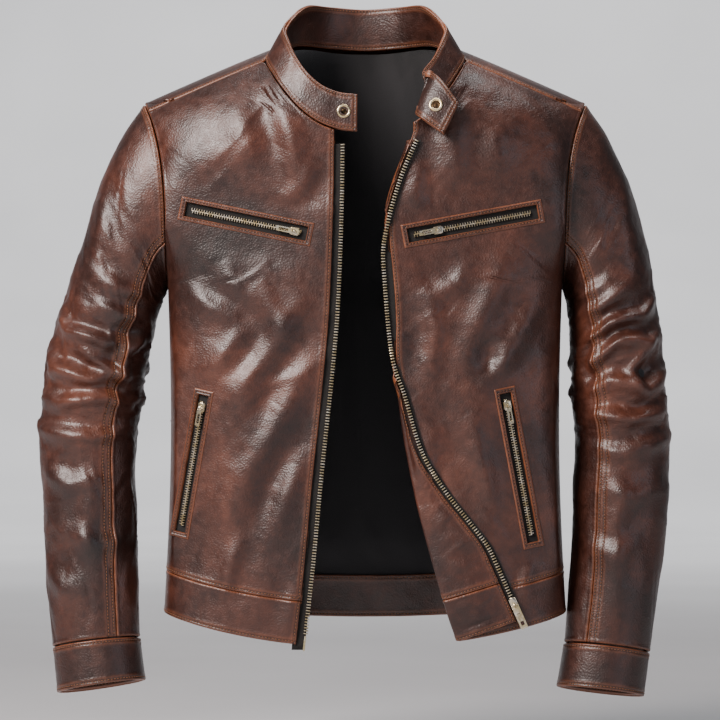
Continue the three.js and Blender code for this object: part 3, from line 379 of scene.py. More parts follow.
TAPE_SHOWS, WRAP, TEETH_SUNK, FLAP_LIFT, LIFTED_AT = 9, 1.6, -1, 4.5, 0.4
FACING_INSET, FACING_STOP, FACING_BEHIND = 4.2, 5.6, 13
ZIP_TOP, ZIP_END, STRAIGHT_FROM = 108, {"right": 632, "left": 628}, 560
ZIP_LINE = {
    "right": edge_line([(23.6, -108), (24.5, -174), (28.4, -280), (34, -350), (46, -464),
                        (57.5, -585), (64.5, -645)]),
    "left": edge_line([(58.4, -101), (36, -154), (20, -217), (20, -252), (29, -342),
                       (41, -378), (60, -440), (86, -487), (110, -522), (131, -555),
                       (159, -623)]),
}
LEFT_FOLD = edge_line([(47.5, -101), (28, -159), (23.5, -195), (29, -245), (33, -300),
                       (32, -350), (39, -415), (52.6, -487), (65, -536), (76, -575),
                       (87, -612), (99, -646)])


def turn_of(side, z):
    """0 where the edge hangs straight, 1 where it is turned out flat."""
    if side == "right":
        return np.zeros(np.shape(z))
    return np.maximum(1 - smooth(-z, 160, 235), smooth(-z, 315, 385))


def panel_edge(side, z):
    if side == "right":
        return ZIP_LINE["right"](z) + TAPE_SHOWS
    return LEFT_FOLD(z) + (WRAP + LEATHER) * turn_of(side, z)


def free_zip_point(side, z, lift):
    z = np.asarray(z, float)
    x = ZIP_LINE[side](z)
    rise = lerp(TEETH_SUNK, FLAP_LIFT, smooth(turn_of(side, z), 0, LIFTED_AT)) + lift
    height = z + (20 * smooth(-z, 420, 640) if side == "left" else 0)
    depth = front_depth(side, x, height) + rise
    return np.stack([SIGN[side] * x, -depth, height + 0 * x], -1)


def zip_point(side, z, lift=0.0):
    """The middle of the teeth at a height; the lowest stretch, where the slider runs, is
    straight."""
    z = np.asarray(z, float)
    free = free_zip_point(side, np.maximum(z, -ZIP_END[side]), lift)
    top = free_zip_point(side, -STRAIGHT_FROM, lift)
    foot = free_zip_point(side, -ZIP_END[side], lift)
    t = ((z + STRAIGHT_FROM) / (STRAIGHT_FROM - ZIP_END[side]))[..., None]
    return np.where((z < -STRAIGHT_FROM)[..., None], top + (foot - top) * t, free)


# %% [markdown]
# ## Panels of the body
# A panel is addressed by u across and v up, both 0 to 1. u steps evenly in plan angle and
# not in width, which keeps points close together round the side seams. Each point's height
# and width depend on one another, so both are found in a few passes, each of which takes
# only part of the step so that the two settle instead of swinging past one another.

# %% panel surfaces
PASSES, PART_STEP = 24, 0.4
UNDERARM_EASE, SIDE_GAP = 8, 0.0006  # the gap at the side seam is an angle in radians


def outer_angle(face, z):
    """Plan angle of a panel's outer border: the armhole, and below it the side seam."""
    above = plan_angle(face, side_x(z), z)
    below = smooth(-z, ARMHOLE_BOTTOM - UNDERARM_EASE, ARMHOLE_BOTTOM)
    return lerp(above, math.pi / 2, below) - SIDE_GAP


def front_surface(side, bottom, top, inner):
    def at(u, v):
        x, z = np.full(np.shape(u), float(NECK_HALF)), np.full(np.shape(u), -260.0)
        for _ in range(PASSES):
            start = plan_angle(FRONT, inner(z), z)
            x = plan_x(FRONT, lerp(start, outer_angle(FRONT, z), u), z)
            z = lerp(z, lerp(bottom(x), top(x), v), PART_STEP)
        return np.stack([SIGN[side] * x, -front_depth(side, x, z), z], -1)

    return at


def yoke_angles(x):
    seam = -np.arccos(1 - (ridge(x) + YOKE_DROP) / BACK["round"])
    front = math.acos(1 - YOKE_FORWARD / FRONT["round"])
    back_neck = -math.acos(1 - ridge(0) / BACK["round"])
    share = np.clip(np.abs(x) / NECK_HALF, 0, 1) ** 2.2
    return seam, lerp(back_neck, front, share)


def back_surface(bottom, top):
    def at(u, v):
        x, z = np.zeros(np.shape(u)), np.full(np.shape(u), float(-YOKE_DROP))
        for _ in range(PASSES):
            x = plan_x(BACK, np.abs(2 * u - 1) * outer_angle(BACK, z), z) * np.sign(2 * u - 1)
            z = lerp(z, lerp(bottom(x), top(x), v), PART_STEP)
        return np.stack([x, back_depth(x, z), z], -1)

    return at


def yoke_surface(u, v):
    """From the yoke seam over the shoulder ridge, by angle, to the neck and front seams."""
    across = 2 * u - 1
    x, z = np.zeros(np.shape(u)), np.full(np.shape(u), float(-YOKE_DROP))
    for _ in range(7):
        x = plan_x(BACK, np.abs(across) * outer_angle(BACK, z), z) * np.sign(across)
        seam, top = yoke_angles(x)
        angle = lerp(seam, top, v)
        drop = np.where(angle > 0, FRONT["round"], BACK["round"]) * (1 - np.cos(angle))
        z = ridge(x) - drop
    share = np.minimum(np.abs(x) / plan_half(BACK, z), 1)
    plan = (1 - share**SQUARENESS) ** (1 / SQUARENESS)
    folds = back_depth(x, z) - body_depth(BACK, x, z)
    behind = folds + plan * BACK["depth"] * roll_over(BACK, x, z)
    ahead = -plan * FRONT["depth"] * roll_over(FRONT, x, z)
    return np.stack([x, np.where(angle > 0, ahead, behind), z], -1)


def band_top(face):
    return lambda x: hem_z(face, x) + HEM_BAND


# %% [markdown]
# The facing backs each front edge. Where the edge is turned it wraps round it as half a
# small circle and then lies open beside the teeth.

# %% facing surface
BEHIND_TO, WRAPPED_TO = 0.3, 0.5  # shares of u, from deep behind the front
FACING_PUFF, FACING_CRUMPLE = 3.2, 1.6


def hook(side, bottom, top):
    """u from 0, deep behind the front, to 1, the free edge by the teeth."""
    def at(u, v):
        x = np.full(np.shape(u), 60.0)
        z = lerp(bottom(x), top(x), v)
        for _ in range(4):
            x = panel_edge(side, z) + np.maximum(1 - u / BEHIND_TO, 0) * FACING_BEHIND
            z = lerp(bottom(x), top(x), v)
        turn = turn_of(side, z)
        radius = lerp(FACING_INSET - 1, WRAP, turn) + LEATHER
        edge = panel_edge(side, z)
        s = SIGN[side]
        behind = np.stack([s * x, 1 + radius - front_depth(side, x, z), z], -1)
        body = front_depth(side, edge, z)
        angle = math.pi * turn

        def wrapped(w):
            return np.stack([s * (edge - radius * np.sin(w)), 1 + radius * np.cos(w) - body, z], -1)

        bow = np.clip((u - BEHIND_TO) / 0.2, 0, 1) * angle
        t = np.clip((u - WRAPPED_TO) / (1 - WRAPPED_TO), 0, 1)[..., None]
        end = wrapped(angle)
        step = np.stack([-s * np.cos(angle), -np.sin(angle), 0 * angle], -1)
        free = zip_point(side, z, 1.0) - np.array([s * FACING_STOP, 0, 0])
        open_flat = end + step * t
        arch = np.sin(math.pi * t[..., 0])
        puff = np.stack([0 * z, -FACING_PUFF * arch * turn, 0 * z], -1)
        crumple = FACING_CRUMPLE * waves(u * 60, z, 34, 77, creased=0.4) * arch
        puff[..., 1] -= crumple * turn
        free_flat = lerp(end, free, t) + puff
        flat = lerp(open_flat, free_flat, smooth(turn, LIFTED_AT, 1)[..., None])
        beyond = np.where((u < WRAPPED_TO)[..., None], wrapped(bow), flat)
        return np.where((u < BEHIND_TO)[..., None], behind, beyond)

    return at


# %% [markdown]
# ## Sleeves, cuffs and collar
# A sleeve is a tube round two lines, its outer and its inner silhouette, with a
# depth between them. Its folds stand off that tube: a nest of deep, short folds inside the
# elbow, where the arm bends most, and long shallow ones above and below it.

# %% sleeve sizes
SLEEVES = {
    "right": dict(
        outer=[(238, -66), (262, -101), (286, -152), (305, -213), (322, -268), (338, -318),
               (349, -382), (350, -440), (347, -500), (343, -565), (335, -651)],
        inner=[(213, -262), (214, -268), (218, -278), (223, -294), (229, -320), (236, -355),
               (242, -398), (246, -440), (246, -500), (244, -560), (242, -640)],
        rim=[(330, -699), (236, -685)]),
    "left": dict(
        outer=[(238, -66), (262, -101), (285, -150), (302, -208), (313, -262), (320, -315),
               (326, -380), (329, -430), (327, -490), (320, -560), (306, -657)],
        inner=[(213, -262), (214, -268), (217, -278), (219, -292), (221, -318), (222, -352),
               (224, -395), (226, -438), (223, -495), (221, -560), (214, -646)],
        rim=[(299, -703), (206, -692)]),
}
SLEEVE_DEPTH = [61, 62, 62, 61, 60, 58, 56, 54, 51, 47, 41]
SLEEVE_FORWARD = [0, 0, 0, 1, 3, 5, 7, 9, 13, 18, 26]
SLEEVE_SEAM, CUFF_TILT, ARMHOLE_EASE, SLEEVE_LONG = 122, 6, 0.15, 600

# %% [markdown]
# A sleeve fold is a line of (degrees round the sleeve from its outer line, distance down it),
# then the fold's width, its height, and the side that its hollow lies on.

# %% folds of the sleeves
SLEEVE_FOLDS = {
    "right": [
        ([(4, 262), (52, 284), (102, 276), (150, 250)], 9, 5.5, 1),
        ([(-4, 306), (40, 328), (88, 330), (140, 306)], 9, 7.0, 1),
        ([(10, 352), (58, 362), (110, 348), (160, 356)], 9, 5.5, 1),
        ([(-20, 384), (36, 396), (98, 402), (152, 388)], 10, 4.2, 1),
        ([(152, 232), (124, 284), (130, 330)], 8, 4.5, -1),
        ([(60, 296), (84, 304), (120, 312), (146, 334)], 7, 4.0, -1),
        ([(140, 150), (104, 188), (58, 214)], 14, 4.0, -1),
        ([(152, 190), (112, 226), (66, 240)], 11, 3.6, -1),
        ([(24, 96), (50, 150), (56, 214)], 16, 3.0, 1),
        ([(22, 436), (70, 456), (114, 448)], 11, 3.4, 1),
        ([(56, 500), (100, 522), (150, 514)], 11, 3.0, 1),
        ([(10, 536), (56, 560), (90, 556)], 10, 2.6, 1),
        ([(104, 440), (88, 500), (96, 572)], 12, 2.6, -1),
        ([(-30, 280), (-80, 292), (-120, 270)], 10, 4.0, 1),
        ([(-24, 330), (-76, 338), (-130, 322)], 10, 5.0, 1),
        ([(-40, 372), (-90, 384), (-140, 366)], 10, 3.6, 1),
        ([(176, 280), (200, 300), (226, 290)], 9, 4.0, 1),
        ([(172, 330), (200, 344), (230, 336)], 9, 4.0, 1),
    ],
    "left": [
        ([(10, 246), (56, 266), (100, 252), (152, 268)], 9, 5.2, 1),
        ([(4, 290), (50, 302), (92, 284), (138, 308)], 9, 6.4, 1),
        ([(0, 330), (58, 350), (104, 330), (152, 344)], 9, 6.0, 1),
        ([(20, 376), (80, 384), (142, 364)], 9, 5.0, 1),
        ([(40, 296), (76, 324), (64, 366)], 7, 4.6, -1),
        ([(110, 262), (126, 296), (112, 330)], 7, 4.0, 1),
        ([(-10, 408), (44, 416), (96, 428), (148, 414)], 10, 3.8, 1),
        ([(142, 150), (110, 186), (70, 220)], 13, 3.8, -1),
        ([(150, 196), (104, 216), (54, 226)], 11, 3.6, -1),
        ([(30, 90), (52, 146), (48, 206)], 16, 2.8, 1),
        ([(30, 460), (74, 476), (116, 462)], 11, 3.0, 1),
        ([(60, 520), (98, 536), (142, 522)], 11, 2.8, 1),
        ([(84, 450), (98, 510), (84, 580)], 12, 2.8, -1),
        ([(-30, 272), (-80, 284), (-120, 266)], 10, 4.0, 1),
        ([(-24, 320), (-76, 330), (-130, 316)], 10, 5.0, 1),
        ([(-40, 366), (-90, 378), (-140, 360)], 10, 3.6, 1),
        ([(176, 276), (200, 296), (226, 286)], 9, 4.0, 1),
        ([(172, 326), (200, 340), (230, 332)], 9, 4.0, 1),
    ],
}


# %% [markdown]
# Both silhouettes are smooth curves through their points, so a ring of the sleeve at any
# share of its length is one ellipse between the two. At the armhole that ellipse eases onto
# the body's armhole, so the sleeve's first ring follows the borders of the panels.


# %% sleeve surfaces
def catmull(points, t):
    """The curve through evenly numbered points, t from 0 to 1 (Catmull-Rom)."""
    points = np.asarray(points, float)
    ends = np.concatenate([[2 * points[0] - points[1]], points, [2 * points[-1] - points[-2]]])
    n = len(points) - 1
    s = np.clip(np.asarray(t, float), 0, 1) * n
    i = np.clip(s.astype(int), 0, n - 1)
    f = s - i
    if points.ndim > 1:
        f = f[..., None]
    p0, p1, p2, p3 = ends[i], ends[i + 1], ends[i + 2], ends[i + 3]
    return 0.5 * (2 * p1 + (p2 - p0) * f + (2 * p0 - 5 * p1 + 4 * p2 - p3) * f**2
                  + (3 * p1 - p0 - 3 * p2 + p3) * f**3)


def sleeve_folds(side, degrees, down):
    """Folds by angle and distance down the sleeve; angles count as their arc at 54 mm."""
    degrees = (np.asarray(degrees, float) + 132) % 360 - 132
    arc = math.radians(54)
    total = 1.2 * waves(degrees, down, 80, 41 if side == "right" else 47)
    elbow = np.exp(-(((down - 330) / 75) ** 2))
    total += (0.4 + 1.3 * elbow) * waves(degrees, down * 1.7, 46, 43, creased=0.55)
    for line, width, height, lean in SLEEVE_FOLDS[side]:
        line = [(a * arc, d) for a, d in line]
        total = total + FOLD_GAIN * fold(degrees * arc, down, line, width, height, lean)
    return total * smooth(down, 30, 110) * (1 - smooth(down, 560, 600) * 0.6)


def sleeve_surface(side):
    """at(degrees, v): 0 degrees on the outer line, 90 at the front; v from armhole to cuff."""
    shape = SLEEVES[side]

    def ring(angle, v):
        outer, inner = catmull(shape["outer"], v), catmull(shape["inner"], v)
        middle, half = (outer + inner) / 2, (outer - inner) / 2
        c, s = np.cos(angle), np.sin(angle)
        x = middle[..., 0] + half[..., 0] * c
        z = middle[..., 1] + half[..., 1] * c + CUFF_TILT * s * smooth(v, 0.75, 1)
        y = -catmull(SLEEVE_DEPTH, v) * s - catmull(SLEEVE_FORWARD, v)
        return np.stack([x, y, z], -1), np.stack([middle[..., 0], -catmull(SLEEVE_FORWARD, v),
                                                  middle[..., 1]], -1)

    def at(degrees, v, folded=True):
        angle = np.radians(degrees)
        point, middle = ring(angle, v)
        share = np.maximum(1 - v / ARMHOLE_EASE, 0) ** 2
        height = ARM_MIDDLE + ARM_HALF * np.cos(angle)
        reach = np.where(np.sin(angle) > 0, FRONT["reach"], BACK["reach"])
        hole = np.stack([side_x(height) + 0.8, -reach * np.sin(angle), height], -1)
        point = point + (hole - ring(angle, 0 * v)[0]) * share[..., None]
        if folded:
            out = unit(point - middle)
            point = point + out * sleeve_folds(side, degrees, v * SLEEVE_LONG)[..., None]
        return point * (SIGN[side], 1, 1)

    return at


# %% [markdown]
# A cuff goes on from the last ring of its sleeve, loses the sleeve's folds half way down,
# and ends at a slanting rim.


# %% cuff surface
def cuff_surface(side):
    sleeve = sleeve_surface(side)
    (xo, zo), (xi, zi) = SLEEVES[side]["rim"]

    def at(degrees, v):
        one = np.ones(np.shape(degrees))
        start = sleeve(degrees, one)
        plain = sleeve(degrees, one, folded=False)
        start = lerp(start, plain, smooth(v, 0, 0.5)[..., None])
        share = (1 - np.cos(np.radians(degrees))) / 2
        top, low = sleeve(0 * one, one, False), sleeve(180 * one, one, False)
        down = np.stack([SIGN[side] * lerp(xo, xi, share) - lerp(top[..., 0], low[..., 0], share),
                         -4 * one, lerp(zo, zi, share) - lerp(top[..., 2], low[..., 2], share)], -1)
        return start + down * lerp(0.006, 1, v)[..., None]

    return at


# %% [markdown]
# The collar is a stand: a strip that rises from the neck seam and leans in towards the neck.
# Its left end is folded outwards as a tab, which shows the inner ply and the snap's socket.

# %% collar surface
COLLAR_HEIGHT, COLLAR_BEHIND, COLLAR_LIFT = 41, 5.8, 0.03
COLLAR_TAPER, COLLAR_WAVE = 0.45, 0.7


def neck_front(side, x):
    z = neck_z(x)
    return np.array([SIGN[side] * x, -body_depth(FRONT, x, z), z])


def neck_yoke(x):
    angle = float(yoke_angles(x)[1])
    face = FRONT if angle > 0 else BACK
    z = float(ridge(x)) - face["round"] * (1 - math.cos(angle))
    return np.array([x, face["sign"] * body_depth(face, x, z), z])


def stand(foot):
    inward = unit(np.array([-foot[0], -25 - foot[1], 0]))
    lean = 0.1 + 0.5 * (foot[0] / NECK_HALF) ** 2
    return foot + unit(np.array([0, 0, 1]) + inward * lean) * COLLAR_HEIGHT


front_share = [0.08, 0.28, 0.47, 0.65, 0.8, 0.92]
yoke_share = [-1, -0.9, -0.7, -0.4, 0, 0.4, 0.7, 0.9, 1]
collar_foot = [neck_front("right", s * NECK_HALF) for s in front_share]
collar_foot += [neck_yoke(s * (NECK_HALF - 1)) for s in yoke_share]
collar_foot += [neck_front("left", s * NECK_HALF) for s in front_share[:2:-1]]
collar_top = [stand(foot) for foot in collar_foot]
collar_foot += [np.array(p) for p in ((57, -98, -85), (60, -107, -91), (82, -113, -107))]
collar_top += [np.array(p) for p in ((71, -83, -38), (78, -94, -43), (99, -107, -72))]


def centripetal(points, t):
    """A Catmull-Rom curve whose knots are spaced by the square root of chord length."""
    points = np.asarray(points, float)
    ends = np.concatenate([[2 * points[0] - points[1]], points, [2 * points[-1] - points[-2]]])
    n = len(points) - 1
    s = np.clip(np.asarray(t, float), 0, 1) * n
    i = np.clip(s.astype(int), 0, n - 1)
    f = (s - i)[..., None]
    p = [ends[i + k] for k in range(4)]
    d = [np.maximum(np.linalg.norm(p[k + 1] - p[k], axis=-1, keepdims=True), 1e-6) ** 0.5
         for k in range(3)]
    t1 = ((p[1] - p[0]) / d[0] - (p[2] - p[0]) / (d[0] + d[1]) + (p[2] - p[1]) / d[1]) * d[1]
    t2 = ((p[2] - p[1]) / d[1] - (p[3] - p[1]) / (d[1] + d[2]) + (p[3] - p[2]) / d[2]) * d[1]
    return (p[1] + t1 * f + (-3 * p[1] + 3 * p[2] - 2 * t1 - t2) * f**2
            + (2 * p[1] - 2 * p[2] + t1 + t2) * f**3)


def collar_surface(depth, puff=0.0):
    """The collar at a depth behind its outer face; a positive puff pads it between its two
    rows of stitching and gives its top edge a slight wave."""
    def at(u, v):
        step = 2e-3
        lo, hi = np.maximum(u - step, 0), np.minimum(u + step, 1)
        along = sum(centripetal(line, hi) - centripetal(line, lo)
                    for line in (collar_foot, collar_top))
        foot = centripetal(collar_foot, u)
        rise = centripetal(collar_top, u) - foot
        inward = unit(np.cross(along, rise))
        share = np.clip(v, 0, 1)
        swell = np.sin(math.pi * share) ** 0.6 + COLLAR_WAVE * waves(u * 700, v * 41, 60, 61)
        pad = depth * (1 - COLLAR_TAPER * share**2) - puff * swell
        return foot + rise * lerp(COLLAR_LIFT, 1, v)[..., None] + inward * pad[..., None]

    return at


# %% [markdown]
# ## Making meshes
# Every soft piece is a grid. Points crowd at its borders, where the turned edge rolls over
# and the stitching sinks in: a real seam shows as a rounded lip, a groove for each row of
# thread, and a slight pucker beside it. The same distances that shape the grooves place the
# stitches, so thread always lies in its groove.

# %% mesh tools
EDGE_STEPS = np.array([0, 0.25, 0.6, 1.1, 1.8, 2.6, 3.4, 4.2, 5.2, 6.4, 7.6, 8.8, 10.2, 12])


def add_mesh(name, points, faces, material, slot, body, smooth_faces=True, **layers):
    """A mesh object from points in millimetres and rows of corner numbers."""
    mesh = bpy.data.meshes.new(name)
    points, faces = np.asarray(points, float) * 0.001, np.asarray(faces)
    mesh.vertices.add(len(points))
    mesh.vertices.foreach_set("co", points.ravel().astype(np.float32))
    corners = faces.shape[1]
    mesh.loops.add(faces.size)
    mesh.loops.foreach_set("vertex_index", faces.ravel().astype(np.int32))
    mesh.polygons.add(len(faces))
    mesh.polygons.foreach_set("loop_start", np.arange(0, faces.size, corners, dtype=np.int32))
    mesh.update(calc_edges=True)
    mesh.validate()
    mesh.polygons.foreach_set("use_smooth", np.full(len(mesh.polygons), smooth_faces))
    for layer, values in layers.items():
        values = np.asarray(values, np.float32)
        if values.ndim == 2 and values.shape[1] == 3:
            vectors = mesh.attributes.new(layer, "FLOAT_VECTOR", "POINT")
            vectors.data.foreach_set("vector", values.ravel())
        elif values.ndim == 2:
            spots = np.empty(len(mesh.loops), np.int32)
            mesh.loops.foreach_get("vertex_index", spots)
            uv = mesh.uv_layers.new(name=layer)
            uv.data.foreach_set("uv", values[spots].ravel())
        else:
            mesh.attributes.new(layer, "FLOAT", "POINT").data.foreach_set("value", values)
    mesh.materials.append(material)
    piece = bpy.data.objects.new(name, mesh)
    bpy.context.scene.collection.objects.link(piece)
    if body:
        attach(piece, body)
    return piece


def grid_faces(rows, columns, wrap=False):
    """Quads of a grid stored row by row; wrap joins the last column to the first."""
    i = np.arange(rows - 1)[:, None]
    j = np.arange(columns if wrap else columns - 1)[None, :]
    k = (j + 1) % columns
    a, b = i * columns + j, i * columns + k
    return np.stack([a, b, b + columns, a + columns], -1).reshape(-1, 4)


# %% [markdown]
# A grid is stored row by row, so its normals, and distances along its rows and columns, come
# from differences between neighbours.


# %% grid tools
def normals_of(grid, wrap=False):
    """Unit normals of a grid of points: the cross product of its two directions."""
    if wrap:
        du = np.roll(grid, -1, 1) - np.roll(grid, 1, 1)
    else:
        du = np.gradient(grid, axis=1)
    return unit(np.cross(du, np.gradient(grid, axis=0)))


def arc_from(grid, axis):
    """Distance along the grid from its first row or column."""
    steps = np.linalg.norm(np.diff(grid, axis=axis), axis=-1)
    start = np.zeros_like(np.take(steps, [0], axis))
    return np.concatenate([start, np.cumsum(steps, axis)], axis)


def spaced(length, count, near_start=True, near_end=True):
    """Shares from 0 to 1 that crowd at the ends by EDGE_STEPS and are even between."""
    edge = EDGE_STEPS[EDGE_STEPS < length / 2.2]
    low = edge if near_start else edge[:1]
    high = length - edge[::-1] if near_end else np.array([length])
    inner = np.linspace(low[-1], high[0], max(count - len(low) - len(high) + 2, 3))[1:-1]
    return np.concatenate([low, inner, high]) / length


def edge_profile(distance, stitches, lip=1.5, puff=0.55):
    """Height beside a sewn edge: a quarter-circle lip, a low swell, a groove per thread row."""
    t = np.clip(distance / lip, 0, 1)
    height = lip * 0.75 * (np.sqrt(1 - (1 - t) ** 2) - 1)
    height += puff * np.exp(-(((distance - 2.2) / 1.7) ** 2))
    for row in stitches:
        height -= 0.62 * np.exp(-(((distance - row) / 0.85) ** 2))
    if stitches:
        far = max(stitches)
        height += 0.35 * np.exp(-(((distance - far - 2.6) / 1.6) ** 2))
    return height


# %% [markdown]
# ## Finishes
# Waxed pull-up leather shows three things at once: a base that drifts between red-brown and
# near black where the wax moved, a fine pebble of pores, and paler, burnished edges where a
# fold or a lip was rubbed. The panel's own "worn" value says how near an edge a point is.


# %% material helpers
def linear(hex_colour):
    """sRGB hex to linear light: c / 12.92 below 0.04045, else ((c + 0.055) / 1.055)^2.4."""
    out = []
    for i in (1, 3, 5):
        c = int(hex_colour[i:i + 2], 16) / 255
        out.append(c / 12.92 if c <= 0.04045 else ((c + 0.055) / 1.055) ** 2.4)
    return (*out, 1.0)


def new_material(name, **sockets):
    material = bpy.data.materials.new(name)
    material.use_nodes = True
    shader = material.node_tree.nodes["Principled BSDF"]
    for socket, value in sockets.items():
        shader.inputs[socket.replace("_", " ")].default_value = value
    return material, material.node_tree, shader


def add_node(tree, kind, settings=(), **inputs):
    """Adds a node; inputs are sockets by name, given a value or another node's output."""
    node = tree.nodes.new("ShaderNode" + kind)
    for key, value in dict(settings).items():
        setattr(node, key, value)
    for name, value in inputs.items():
        socket = node.inputs[int(name[1:])] if name[0] == "_" else node.inputs[name]
        if isinstance(value, bpy.types.NodeSocket):
            tree.links.new(value, socket)
        else:
            socket.default_value = value
    return node


def ramp(tree, factor, stops):
    node = add_node(tree, "ValToRGB", Fac=factor)
    elements = node.color_ramp.elements
    while len(elements) < len(stops):
        elements.new(0.5)
    for element, (place, colour) in zip(elements, stops):
        element.position = place
        element.color = linear(colour) if isinstance(colour, str) else (*[colour] * 3, 1)
    return node.outputs["Color"]


def noise(tree, place, scale, detail=3.0, rough=0.5, bend=0.0):
    return add_node(tree, "TexNoise", Vector=place, Scale=scale, Detail=detail,
                    Roughness=rough, Distortion=bend).outputs["Fac"]


# %% [markdown]
# The pattern reads the "hide" value, which is each point's place on its panel before the
# lips and grooves are added. Object coordinates would do at rest, but the pores would then
# slide over the leather wherever a sleeve bends.


# %% leather
def make_leather(name, tones, worn_tone, coat):
    """Pull-up leather, patterned by where each point of the hide lies before it bends."""
    material, tree, shader = new_material(
        name, Coat_Weight=coat, Coat_Roughness=0.36, Specular_IOR_Level=0.5)
    place = add_node(tree, "Attribute", {"attribute_name": "hide"}).outputs["Vector"]
    drift = noise(tree, place, 9, 5, 0.6, 0.3)
    mottle = noise(tree, place, 110, 4, 0.6, 0.2)
    mixed = add_node(tree, "Math", {"operation": "MULTIPLY_ADD"}, _0=mottle, _1=0.3, _2=drift)
    tone = ramp(tree, mixed.outputs[0], list(zip((0.4, 0.58, 0.72, 0.86), tones)))
    worn = add_node(tree, "Attribute", {"attribute_name": "worn"}).outputs["Fac"]
    rubbed = add_node(tree, "Math", {"operation": "MULTIPLY"}, _0=worn,
                      _1=ramp(tree, mottle, [(0.3, 0.45), (0.7, 1.0)]))
    mix = add_node(tree, "Mix", {"data_type": "RGBA"}, Factor=rubbed.outputs[0])
    tree.links.new(tone, mix.inputs["A"])
    mix.inputs["B"].default_value = linear(worn_tone)
    # Painted shade: the leather in each sunk thread groove is mixed towards the darkest tone.
    groove_shade_mask = add_node(tree, "Attribute", {"attribute_name": "groove"}).outputs["Fac"]
    painted_groove_shade = add_node(tree, "Mix", {"data_type": "RGBA"}, Factor=groove_shade_mask)
    tree.links.new(mix.outputs["Result"], painted_groove_shade.inputs["A"])
    painted_groove_shade.inputs["B"].default_value = linear(tones[0])
    tree.links.new(painted_groove_shade.outputs["Result"], shader.inputs["Base Color"])
    tree.links.new(ramp(tree, mottle, [(0.3, 0.34), (0.7, 0.5)]), shader.inputs["Roughness"])
    cells = add_node(tree, "TexVoronoi", {"feature": "SMOOTH_F1"}, Vector=place, Scale=520.0,
                     Smoothness=0.5).outputs["Distance"]
    pores = add_node(tree, "Bump", Strength=0.8, Distance=0.0004, Height=cells)
    wrinkle = noise(tree, place, 120, 4, 0.6, 0.5)
    fine = add_node(tree, "Bump", Strength=0.35, Distance=0.0009, Height=wrinkle)
    tree.links.new(pores.outputs["Normal"], fine.inputs["Normal"])
    drape = noise(tree, place, 26, 2, 0.5, 0.4)
    broad = add_node(tree, "Bump", Strength=0.3, Distance=0.003, Height=drape)
    tree.links.new(fine.outputs["Normal"], broad.inputs["Normal"])
    tree.links.new(broad.outputs["Normal"], shader.inputs["Normal"])
    return material


LEATHER_TONES = ("#190c08", "#2f1710", "#442318", "#5a3122")
leather = make_leather("waxed_pull_up_leather", LEATHER_TONES, "#8a5030", 0.25)

# %% [markdown]
# The lining is a brushed black cloth, the tapes a woven one. Both are nearly black, so what
# shows is their soft sheen and, on the tape, the ribs of the weave along its length.


# %% cloth, thread and metals
def make_cloth(name, low, high, ribs, sheen):
    material, tree, shader = new_material(name, Roughness=0.9, Sheen_Weight=sheen,
                                          Sheen_Roughness=0.5)
    place = add_node(tree, "TexCoord").outputs["UV"]
    fuzz = noise(tree, place, 900, 4, 0.7)
    tree.links.new(ramp(tree, fuzz, [(0.3, low), (0.75, high)]), shader.inputs["Base Color"])
    weave = add_node(tree, "TexWave", {"bands_direction": "Y"}, Vector=place, Scale=ribs,
                     Distortion=1.5).outputs["Fac"]
    bump = add_node(tree, "Bump", Strength=0.5, Distance=0.0003, Height=weave)
    tree.links.new(bump.outputs["Normal"], shader.inputs["Normal"])
    return material


def make_metal(name, tones, rough):
    """Antiqued plating: bright where it rubs and brown in patches, by Object coordinates."""
    material, tree, shader = new_material(name, Metallic=1.0)
    place = add_node(tree, "TexCoord").outputs["Object"]
    patch = noise(tree, place, 150, 3, 0.5)
    tree.links.new(ramp(tree, patch, list(zip((0.36, 0.5, 0.66), tones))),
                   shader.inputs["Base Color"])
    tree.links.new(ramp(tree, patch, [(0.3, rough + 0.14), (0.7, rough)]),
                   shader.inputs["Roughness"])
    return material


lining = make_cloth("brushed_black_lining", "#0e0e10", "#26262a", 260.0, 0.5)
tape = make_cloth("woven_zip_tape", "#0b0a0a", "#1d1a18", 420.0, 0.1)
thread = make_cloth("waxed_tan_thread", "#5a3018", "#94603a", 900.0, 0.0)
thread.node_tree.nodes["Principled BSDF"].inputs["Roughness"].default_value = 0.55
tooth_metal = make_metal("antique_brass_teeth", ("#b9a983", "#d9cdb0", "#f3ecdd"), 0.3)
pull_metal = make_metal("antique_nickel_pulls", ("#c2b48e", "#d8ccb0", "#eee7d8"), 0.22)
snap_metal = make_metal("cream_gold_snaps", ("#cfb688", "#e2cfa6", "#f2e6cc"), 0.22)
snap_dark = make_metal("darkened_snap_well", ("#1c1510", "#3a2d20", "#5a4935"), 0.35)

# %% [markdown]
# ## Sewing a panel
# One function turns any surface into a sewn panel: its grid, the lips and grooves at its
# borders, a wall and a short turned-under strip that give it thickness, and the rows of
# stitches in the grooves. A thread row is one small capsule repeated, never a texture, so
# each stitch catches the light as real thread does.

# %% stitches
PITCH, STITCH, THREAD = 3.5, 2.6, 0.42
ring = np.radians(np.arange(6) * 60)
spine = np.array([-1, -0.7, 0.7, 1]) * STITCH / 2
girth = np.array([0.35, 1, 1, 0.35]) * THREAD
sunk = np.repeat([-0.25, 0.1, 0.1, -0.25], 6)  # both ends dip into the leather
capsule = np.stack([np.repeat(spine, 6), np.outer(girth, np.cos(ring)).ravel(),
                    np.outer(girth, np.sin(ring)).ravel() + sunk], -1)
capsule_faces = np.concatenate([grid_faces(4, 6, wrap=True),
                                [[3, 2, 1, 0], [5, 4, 3, 0]], [[18, 19, 20, 21], [18, 21, 22, 23]]])


